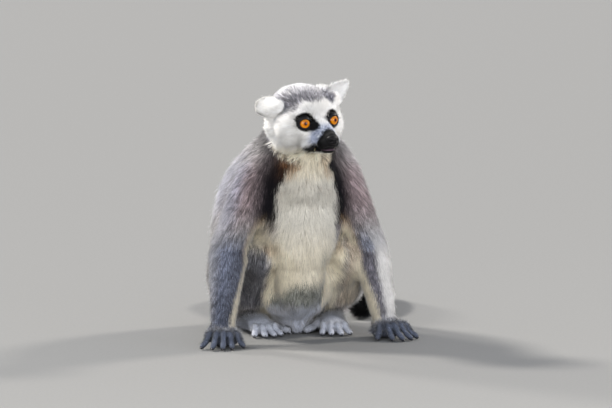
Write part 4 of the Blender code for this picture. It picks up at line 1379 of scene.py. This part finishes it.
def comb_tufts(coat):
    """Draws the tufts together in locks, and turns those beside the eyes away from them."""
    clump = coat.root[rng.permutation(coat.count)[: max(300, coat.count // 30)]]
    pull = 0.26 * (1 - 0.6 * np.maximum(coat.head, coat.ends))
    coat.lie, coat.lock = combed(coat.root, coat.up, coat.lie, coat.length, clump, pull[:, None], 9)
    coat.locks = len(clump)
    for side in SIDES.values():
        away = coat.root - np.array(HEAD @ eye_centre(side))
        distance = np.linalg.norm(away, axis=1, keepdims=True)
        away = flattened(away, coat.up)
        inwards = np.minimum((coat.lie * away).sum(1, keepdims=True), 0) * (1 - ramp(distance, 0.015, 0.022))
        coat.lie = unit(coat.lie - 1.6 * inwards * away)


def tint_tufts(coat):
    """The markings, read half way along each tuft, with a fleck of its own and one for its lock. Greys are
    more flecked than white or black."""
    root, head = coat.root, coat.head
    tilt = np.radians(coat.lift)[:, None]
    strand = 0.5 * coat.length[:, None] * (np.cos(tilt) * coat.lie + np.sin(tilt) * coat.up)
    stray = rng.standard_normal((coat.count, 3)) * (0.0016 - 0.0009 * head)[:, None]
    colour = coat_colours(root + strand + stray, (head, coat.ears, coat.ends))
    light = colour.mean(1)
    grizzled = (1 - ramp(light, 0.20 + 0.12 * head, 0.60 + 0.22 * head)) * (light > 0.02)
    ticking = (0.08 + (0.24 + 0.36 * head) * grizzled) * rng.standard_normal(coat.count)
    mottle = ripple(root, 0.0052, 4.0) + ripple(root, 0.0083, 1.7) + 0.9 * ripple(root, 0.0033, 2.6)
    patchy = (0.05 + 0.12 * grizzled) * rng.standard_normal(coat.locks)[coat.lock]
    fleck = np.exp(ticking + (0.05 + 0.45 * grizzled) * mottle + patchy)
    coat.colour = np.clip(colour * fleck[:, None], 0.004, 0.93)


def coat_groups(coat):
    """Which tufts each piece of the coat holds."""
    on_head, on_face = (coat.head > HALF) & ~coat.on_ears, coat.face > HALF
    groups = {
        "coat_face": on_head & on_face,
        "coat_head": on_head & ~on_face,
        "coat_ears": coat.on_ears,
        "coat_paws": (coat.ends > HALF) & (coat.head <= HALF) & ~coat.on_ears,
    }
    rest = ~np.any(list(groups.values()), axis=0)
    for label, prefix in (("coat_trunk", "spine"), ("coat_tail", "tail"), ("coat_upper_arms", "upper_arm"),
                          ("coat_forearms", "forearm"), ("coat_thighs", "thigh"), ("coat_shins", "shin")):
        groups[label] = rest & on_bone(coat.bone, prefix)
    return groups


def unwrapped(coat, label, chosen):
    """Each tuft's place on the unwrap of its piece, and the number that the piece's tufts are sorted by."""
    h, bone = coat.h, coat.bone
    if label in ("coat_face", "coat_head", "coat_ears"):
        turn = np.arctan2(h[:, 0], -h[:, 2]) / (2 * math.pi) + 0.5
        return np.stack([turn, ramp(h[:, 1], -0.065, 0.055)], 1), h[chosen, 0]
    kinds = np.unique(bone[chosen])
    column = np.clip(np.searchsorted(kinds, bone), 0, len(kinds) - 1)
    return np.stack([(column + coat.turn) / len(kinds), coat.share], 1), bone[chosen] + coat.share[chosen]


def grow_coat(skin, outer):
    root, up, (reach, room) = roots_on(skin, tufts_per_mm2, room_round(skin, outer))
    coat = SimpleNamespace(root=root, up=up, h=in_head(root), count=len(root))
    coat.head, coat.ears, coat.ends = regions(root)
    coat.on_ears = coat.ears > EAR_EDGE
    coat.face = face_share(coat.h, coat.head)
    coat.length, coat.width, _, coat.lie, coat.bone, coat.share, coat.turn = coat_at(root)[1:8]
    size_tufts(coat)
    lay_tufts(coat)
    raise_tufts(coat, reach, room)
    vary_tufts(coat)
    comb_tufts(coat)
    tint_tufts(coat)
    for label, mask in coat_groups(coat).items():
        bent = label not in ("coat_face", "coat_paws")
        chosen = np.flatnonzero(mask)
        spot, sort = unwrapped(coat, label, chosen)
        chosen = chosen[np.argsort(sort, kind="stable")]
        each = len(BENT) if bent else len(STRAIGHT)
        pieces = max(1, math.ceil(len(chosen) * each / PIECE_TRIANGLES))
        for i, part in enumerate(np.array_split(chosen, pieces), 1):
            low, high = spot[part].min(0), spot[part].max(0)
            place = 0.004 + 0.992 * (spot[part] - low) / np.maximum(high - low, 1e-6)
            title = label if pieces == 1 else f"{label}_{i}"
            keep(tuft_piece(title, root[part], up[part], coat.lie[part], coat.length[part], coat.width[part],
                            coat.lift[part], coat.colour[part], place, bent))
            print("tufts", title, len(part))


# ---------------------------------------------------------------- eyes, lids, nose, lips


def around(polar, turn):
    """The direction at that angle from Z and that turn round it."""
    return Vector((math.sin(polar) * math.cos(turn), math.sin(polar) * math.sin(turn), math.cos(polar)))


def soft(value, low, high):
    return float(ramp(np.array(value), low, high))


def finished(obj, look, *nodes, slot=None):
    obj.data.materials.append(look)
    return keep(obj, *nodes, slot=slot)


def build_eye(name, side, look):
    """A ball with a slightly bulging cornea. Its points carry where they lie round the gaze."""
    place = HEAD @ eye_frame(side)
    rings, sides = 40, 56
    verts, gaze = [], []
    for i in range(rings + 1):
        polar = math.pi * (i / rings) ** 1.35
        radius = EYE_RADIUS + 0.0007 * (1 - soft(math.degrees(polar), 26, 46))
        spread = polar / math.radians(66)
        for k in range(sides):
            turn = 2 * math.pi * k / sides
            local = around(polar, turn)
            verts.append(place @ (local * radius))
            gaze.append((spread * math.cos(turn), spread * math.sin(turn), local.z))
    eye = mesh_object("eye_" + name, verts, [(a, c, d, b) for a, b, c, d in ring_corners(rings, sides)])
    attribute = eye.data.attributes.new("gaze", "FLOAT_VECTOR", "POINT")
    attribute.data.foreach_set("vector", np.array(gaze, np.float32).ravel())
    return finished(welded(eye), look, "eye_" + name, slot="amber_eye")


# The lids' section, from under their edge outwards: degrees past the edge, height over the ball
LID_PROFILE = [
    (4.0, -0.00010), (0.0, 0.00015), (-0.6, 0.00060), (1.5, 0.00110), (5.0, 0.00125), (10.0, 0.00105),
    (17.0, 0.00110), (25.0, 0.00095), (33.0, 0.00050),
]


def build_lids(name, side, look):
    """The bare black lids: a shell over the ball with an almond opening, thick at its edge."""
    place = HEAD @ eye_frame(side)
    sides = 96
    verts = []
    for step, lift in LID_PROFILE:
        for k in range(sides):
            turn = 2 * math.pi * k / sides
            local = around(math.radians(float(lid_reach(np.array(turn))) + step), turn)
            local.x *= side
            crease = 0.00010 * math.cos(9 * turn + 0.8 * step) * min(1.0, max(step, 0) / 8)
            verts.append(place @ (local * (EYE_RADIUS + lift + crease)))
    corners = ring_corners(len(LID_PROFILE) - 1, sides)
    faces = [(a, b, d, c) if side > 0 else (b, a, c, d) for a, b, c, d in corners]
    lids = mesh_object("lids_" + name, verts, faces)
    baked(modified(lids, "SOLIDIFY", thickness=0.0004, offset=-1))
    lids.data.shade_smooth()
    return finished(lids, look)


def build_nose(look):
    """The nose pad: a broad button with comma-shaped nostrils and a groove down its middle."""
    columns, rows = 72, 48
    verts = []
    for i in range(rows + 1):
        polar = math.pi * i / rows
        for k in range(columns):
            turn = 2 * math.pi * k / columns
            across, z = math.sin(polar) * math.cos(turn), math.sin(polar) * math.sin(turn)
            x, y, z = across * 0.0074, math.cos(polar) * 0.0062, z * 0.0062
            y *= 1.25 if y > 0 else 1.0
            x *= 1.0 + 0.10 * soft(z, -0.002, 0.004)
            for side in (-1, 1):
                px, pz = x - side * 0.0043, z + 0.0006
                comma = math.hypot(px / 0.0017, (pz - 0.25 * side * px) / 0.0013)
                if y < 0:
                    y += 0.0026 * math.exp(-comma**2)
                slit = math.hypot((px - side * 0.0016) / 0.0018, (pz + 0.0006) / 0.0006)
                if y < 0.001:
                    y += 0.0010 * math.exp(-slit**2)
            if y < 0:
                y += 0.0007 * (math.exp(-(x / 0.00045) ** 2) * soft(-z, -0.001, 0.002))
            verts.append(HEAD @ (Vector((0, -0.0572, -0.0236)) + Vector((x, y, z))))
    faces = [(a, b, d, c) for a, b, c, d in ring_corners(rows, columns)]
    nose = welded(mesh_object("nose_pad", verts, faces))
    nose.data.shade_smooth()
    return finished(nose, look, "nose", slot="dark_bare_skin")


def node_group(name, amounts):
    """A geometry tree with a named input for each amount."""
    tree = bpy.data.node_groups.new(name, "GeometryNodeTree")
    tree.interface.new_socket("Geometry", in_out="INPUT", socket_type="NodeSocketGeometry")
    for label in amounts:
        tree.interface.new_socket(label, in_out="INPUT", socket_type="NodeSocketFloat")
    tree.interface.new_socket("Geometry", in_out="OUTPUT", socket_type="NodeSocketGeometry")
    return tree, node(tree, "NodeGroupInput")


def grown(obj, tree, shape, amounts, look):
    """Ends the tree with this shape in this material, runs it on the object with these amounts, and leaves
    only the mesh it makes."""
    whole = node(tree, "GeometryNodeRealizeInstances", {}, Geometry=shape)
    smooth = node(tree, "GeometryNodeSetShadeSmooth", {}, i0=whole.outputs["Geometry"])
    dressed = node(tree, "GeometryNodeSetMaterial", {"Material": look}, Geometry=smooth.outputs["Geometry"])
    node(tree, "NodeGroupOutput", {}, Geometry=dressed.outputs["Geometry"])
    modifier = obj.modifiers.new(tree.name, "NODES")
    modifier.node_group = tree
    for item in tree.interface.items_tree:
        if item.in_out == "INPUT" and item.name in amounts:
            modifier[item.identifier] = amounts[item.name]
    baked(obj)
    obj.data.materials.clear()
    return finished(obj, look)


def swept(name, paths, thickness, look):
    """Round threads along paths. A thread's girth at each point is the thickness times that point's share."""
    verts, edges, shares = [], [], []
    for path in paths:
        edges += [(len(verts) + i, len(verts) + i + 1) for i in range(len(path) - 1)]
        verts += [point for point, _ in path]
        shares += [share for _, share in path]
    obj = mesh_object(name, verts, [])
    obj.data.edges.add(len(edges))
    obj.data.edges.foreach_set("vertices", np.array(edges, np.int32).ravel())
    obj.data.attributes.new("share", "FLOAT", "POINT").data.foreach_set("value", np.array(shares, np.float32))
    amounts = {"Thickness": thickness}
    tree, start = node_group(name + "_sweep", amounts)
    share = node(tree, "GeometryNodeInputNamedAttribute", {"data_type": "FLOAT", "Name": "share"})
    girth = node(tree, "ShaderNodeMath", {"operation": "MULTIPLY"}, i0=share.outputs["Attribute"],
                 i1=start.outputs["Thickness"])
    line = node(tree, "GeometryNodeMeshToCurve", {}, Mesh=start.outputs["Geometry"])
    round_end = node(tree, "GeometryNodeCurvePrimitiveCircle", {"Resolution": 8, "Radius": 1.0})
    tube = node(tree, "GeometryNodeCurveToMesh", {"Fill Caps": True}, Curve=line.outputs["Curve"],
                Profile_Curve=round_end.outputs["Curve"], Scale=girth.outputs["Value"])
    return grown(obj, tree, tube.outputs["Mesh"], amounts, look)


def build_whiskers(look):
    """Stiff whiskers from the pads beside the nose, and a few over the eyes."""
    paths = []
    steps = 8
    for side in SIDES.values():
        roots = []
        for i in range(4):
            for j in range(3):
                root = (side * 0.0100, -0.0440 + 0.0035 * i, -0.0240 - 0.0022 * j)
                roots.append((root, (side * 0.9, 0.15 + 0.25 * i, 0.30 - 0.35 * j)))
        for i in range(3):
            roots.append(((side * (0.0120 + 0.003 * i), -0.0262, 0.0065), (side * 0.35, -0.35, 1.0)))
        for root, way in roots:
            way = Vector(way).normalized()
            length = (0.026 if way.z < 0.8 else 0.014) * float(rng.uniform(0.8, 1.15))
            droop = Vector((0, 0.25, -0.35)) * length
            path = []
            for k in range(steps + 1):
                t = k / steps
                path.append((HEAD @ (Vector(root) + way * length * t + droop * t * t), 1 - 0.9 * t))
            paths.append(path)
    return swept("whiskers", paths, 0.00011, look)


def build_lip(name, skin, drop, thickness, look):
    """A lip's wet edge, laid on the skin from one corner of the mouth round to the other."""
    tree = BVHTree.FromObject(skin, bpy.context.evaluated_depsgraph_get())
    spin = HEAD.to_3x3()
    path = []
    for k in range(61):
        s = k / 60 * 2 - 1
        turn = math.radians(92.5 * s)
        out = Vector((math.sin(turn), -math.cos(turn), 0))
        start = Vector((0, -0.032, 0)) + out * 0.05
        start.z = float(mouth_height(-0.056 + 0.040 * abs(s) ** 1.6)) + drop * (1 - 0.8 * abs(s) ** 6)
        hit = tree.ray_cast(HEAD @ start, spin @ -out, 0.08)[0]
        if hit is not None:
            path.append((hit - (spin @ out) * 0.0003, 1 - 0.75 * abs(s) ** 3))
    return swept(name, [path], thickness, look)


def build_teeth(look):
    """The tips of the upper canines, which show at the sides of the mouth."""
    paths = []
    for side in SIDES.values():
        top = Vector((side * 0.0098, -0.0352, float(mouth_height(-0.0352)) + 0.0012))
        path = []
        for t in (0, 0.25, 0.5, 0.75, 0.92, 1.0):
            down = Vector((side * 0.0012 * t, -0.0004 * t, -0.0027 * t))
            path.append((HEAD @ (top + down), (1 - t) ** 0.6 + 0.05))
        paths.append(path)
    return swept("canine_tips", paths, 0.00085, look)


def build_nails(look):
    """Narrow keeled nails, one at the tip of each finger and toe, that lie along it and dip at their ends."""
    verts, turns, ends = [], [], []
    for name, side in SIDES.items():
        ends += [(hand_frame(name), rows) for rows, _ in hand_digits(side)]
        ends += [(foot_frame(name), rows) for rows, _ in foot_digits(side)]
    for place, rows in ends:
        tip, before = Vector(rows[-1][:3]), Vector(rows[-2][:3])
        ahead = (tip - before).normalized()
        verts.append(place @ (tip + Vector((0, 0, rows[-1][4] * 0.62)) + ahead * 0.0006))
        way = (place.to_3x3() @ (ahead + Vector((0, 0, -0.22)))).normalized()
        side = way.cross(Vector((0, 0, 1))).normalized()
        turns.append(upright(side, side.cross(way) * -1, way).to_euler())
    obj = mesh_object("nails", verts, [])
    turn = obj.data.attributes.new("turn", "FLOAT_VECTOR", "POINT")
    turn.data.foreach_set("vector", np.array(turns, np.float32).ravel())
    amounts = {"Length": 0.0062, "Width": 0.0017}
    tree, start = node_group("nails_on_tips", amounts)
    horn = node(tree, "GeometryNodeMeshCone", {"Vertices": 12, "Side Segments": 5, "Radius Top": 0.0003},
                Radius_Bottom=start.outputs["Width"], Depth=start.outputs["Length"])
    flat = node(tree, "GeometryNodeTransform", {"Scale": (1.0, 0.55, 1.0), "Translation": (0, 0, -0.0020)},
                Geometry=horn.outputs["Mesh"])
    attribute = node(tree, "GeometryNodeInputNamedAttribute", {"data_type": "FLOAT_VECTOR", "Name": "turn"})
    points = node(tree, "GeometryNodeInstanceOnPoints", {}, Points=start.outputs["Geometry"],
                  Instance=flat.outputs["Geometry"], Rotation=attribute.outputs["Attribute"])
    return grown(obj, tree, points.outputs["Instances"], amounts, look)


# ---------------------------------------------------------------- the studio

# Kind, place, power, width in metres for an area light or the disc in degrees for a sun, and colour
LIGHTS = {
    "front_light": ("AREA", (-0.5, -2.3, 0.40), 36, 1.5, "#fffdf8"),
    "low_fill": ("AREA", (1.4, -2.0, 0.12), 24, 0.9, "#f6f7ff"),
    "left_sun": ("SUN", (-0.75, 0.50, 1.05), 3.6, 9, "#fffaf2"),
    "low_left_sun": ("SUN", (-0.80, 1.30, 0.62), 2.4, 9, "#fffaf2"),
    "right_sun": ("SUN", (1.0, 0.30, 0.85), 2.4, 9, "#fff8ee"),
}
LIT_PLACE = Vector((0, -0.05, 0.14))
VIEW_AZIMUTH, VIEW_ELEVATION, VIEW_DISTANCE = -11, 6.5, 6.0
# The view has this many columns and rows. The seat is at this column and row, where a column is this wide
COLUMNS, ROWS, SEAT_COLUMN, SEAT_ROW, COLUMN_WIDTH = 612, 408, 285.3, 329, 0.00118
SENSOR = 36


def build_floor():
    """A pale painted studio floor with a fine roller's grain."""
    floor = mesh_object("floor", [(-14, -14, 0), (14, -14, 0), (14, 14, 0), (-14, 14, 0)], [(0, 1, 2, 3)])
    floor.data.materials.append(clouded_material(
        "pale_studio_floor", "#7a7a79", "#828281", 260.0, 3.0, Roughness=0.85, Specular_IOR_Level=0.15))


def add_light(name, kind, place, power, size, colour):
    lamp = bpy.data.lights.new(name, kind)
    lamp.energy = power
    lamp.color = tuple(linear(colour))
    if kind == "SUN":
        lamp.angle = math.radians(size)
    else:
        lamp.size = size
    made = linked(name, lamp)
    made.location = place
    made.rotation_euler = (LIT_PLACE - Vector(place)).to_track_quat("-Z", "Y").to_euler()


def set_camera():
    azimuth, elevation = math.radians(VIEW_AZIMUTH), math.radians(VIEW_ELEVATION)
    level = math.cos(elevation)
    back = Vector((math.sin(azimuth) * level, -math.cos(azimuth) * level, math.sin(elevation)))
    right = Vector((math.cos(azimuth), math.sin(azimuth), 0))
    up = back.cross(right)
    middle = right * (COLUMNS / 2 - SEAT_COLUMN) * COLUMN_WIDTH + up * (SEAT_ROW - ROWS / 2) * COLUMN_WIDTH
    camera = linked("camera", bpy.data.cameras.new("camera"))
    camera.matrix_world = Matrix.Translation(middle + back * VIEW_DISTANCE) @ upright(right, up, back)
    camera.data.sensor_width = SENSOR
    camera.data.lens = SENSOR * VIEW_DISTANCE / (COLUMNS * COLUMN_WIDTH)
    camera.data.clip_end = 30
    bpy.context.scene.camera = camera


def set_studio():
    """Broad soft light from the front, sun from behind over both shoulders, and the low camera."""
    world = bpy.data.worlds.new("studio")
    bpy.context.scene.world = world
    world.use_nodes = True
    background = world.node_tree.nodes["Background"]
    background.inputs["Color"].default_value = (*linear("#e2e9f6"), 1)
    background.inputs["Strength"].default_value = 0.80
    for name, settings in LIGHTS.items():
        add_light(name, *settings)
    set_camera()
    bpy.context.scene.view_settings.view_transform = "Standard"


def build():
    set_studio()
    build_floor()
    skin, outer = build_skin()
    points = coordinates(skin.data)
    add_colours(skin.data, "coat", coat_colours(points, regions(points)) * 0.8)
    skin.data.materials.clear()
    skin.data.materials.append(SKIN)
    keep(skin, *BODY_NODES, *HEAD_NODES, *LIMB_ENDS, slot="grey_coat")
    grow_coat(skin, outer)
    bpy.data.objects.remove(outer)
    eye_look = eye_material()
    lid_look = bare_skin_material("black_lid_skin", "#0c0b0d", 0.35, 0.0005, 0.0001)
    for name, side in SIDES.items():
        build_eye(name, side, eye_look)
        build_lids(name, side, lid_look)
    build_nose(bare_skin_material("wet_nose_leather", "#070608", 0.50, 0.00055, 0.00018))
    upper_look = bare_skin_material("black_lip_skin", "#1a1418", 0.42, 0.0006, 0.0001)
    build_lip("upper_lip", skin, 0.00075, 0.00065, upper_look)
    # the lower lip is mauve of its own, made paler by a painted highlight of its wet edge
    lower_look = bare_skin_material("mauve_lip_painted_highlight", "#4a3b45", 0.35, 0.0006, 0.0001)
    build_lip("lower_lip", skin, -0.00115, 0.00085, lower_look)
    build_teeth(clouded_material(
        "ivory_tooth", "#c9b074", "#eadfb8", 900.0, Roughness=0.22, IOR=1.62, Subsurface_Weight=0.1))
    build_whiskers(clouded_material("whisker_hair", "#1a1718", "#5a5452", 1400.0, Roughness=0.35, IOR=1.55))
    build_nails(clouded_material("dark_nail_horn", "#1b1a1c", "#4a4542", 1400.0, Roughness=0.35, IOR=1.55))


build()
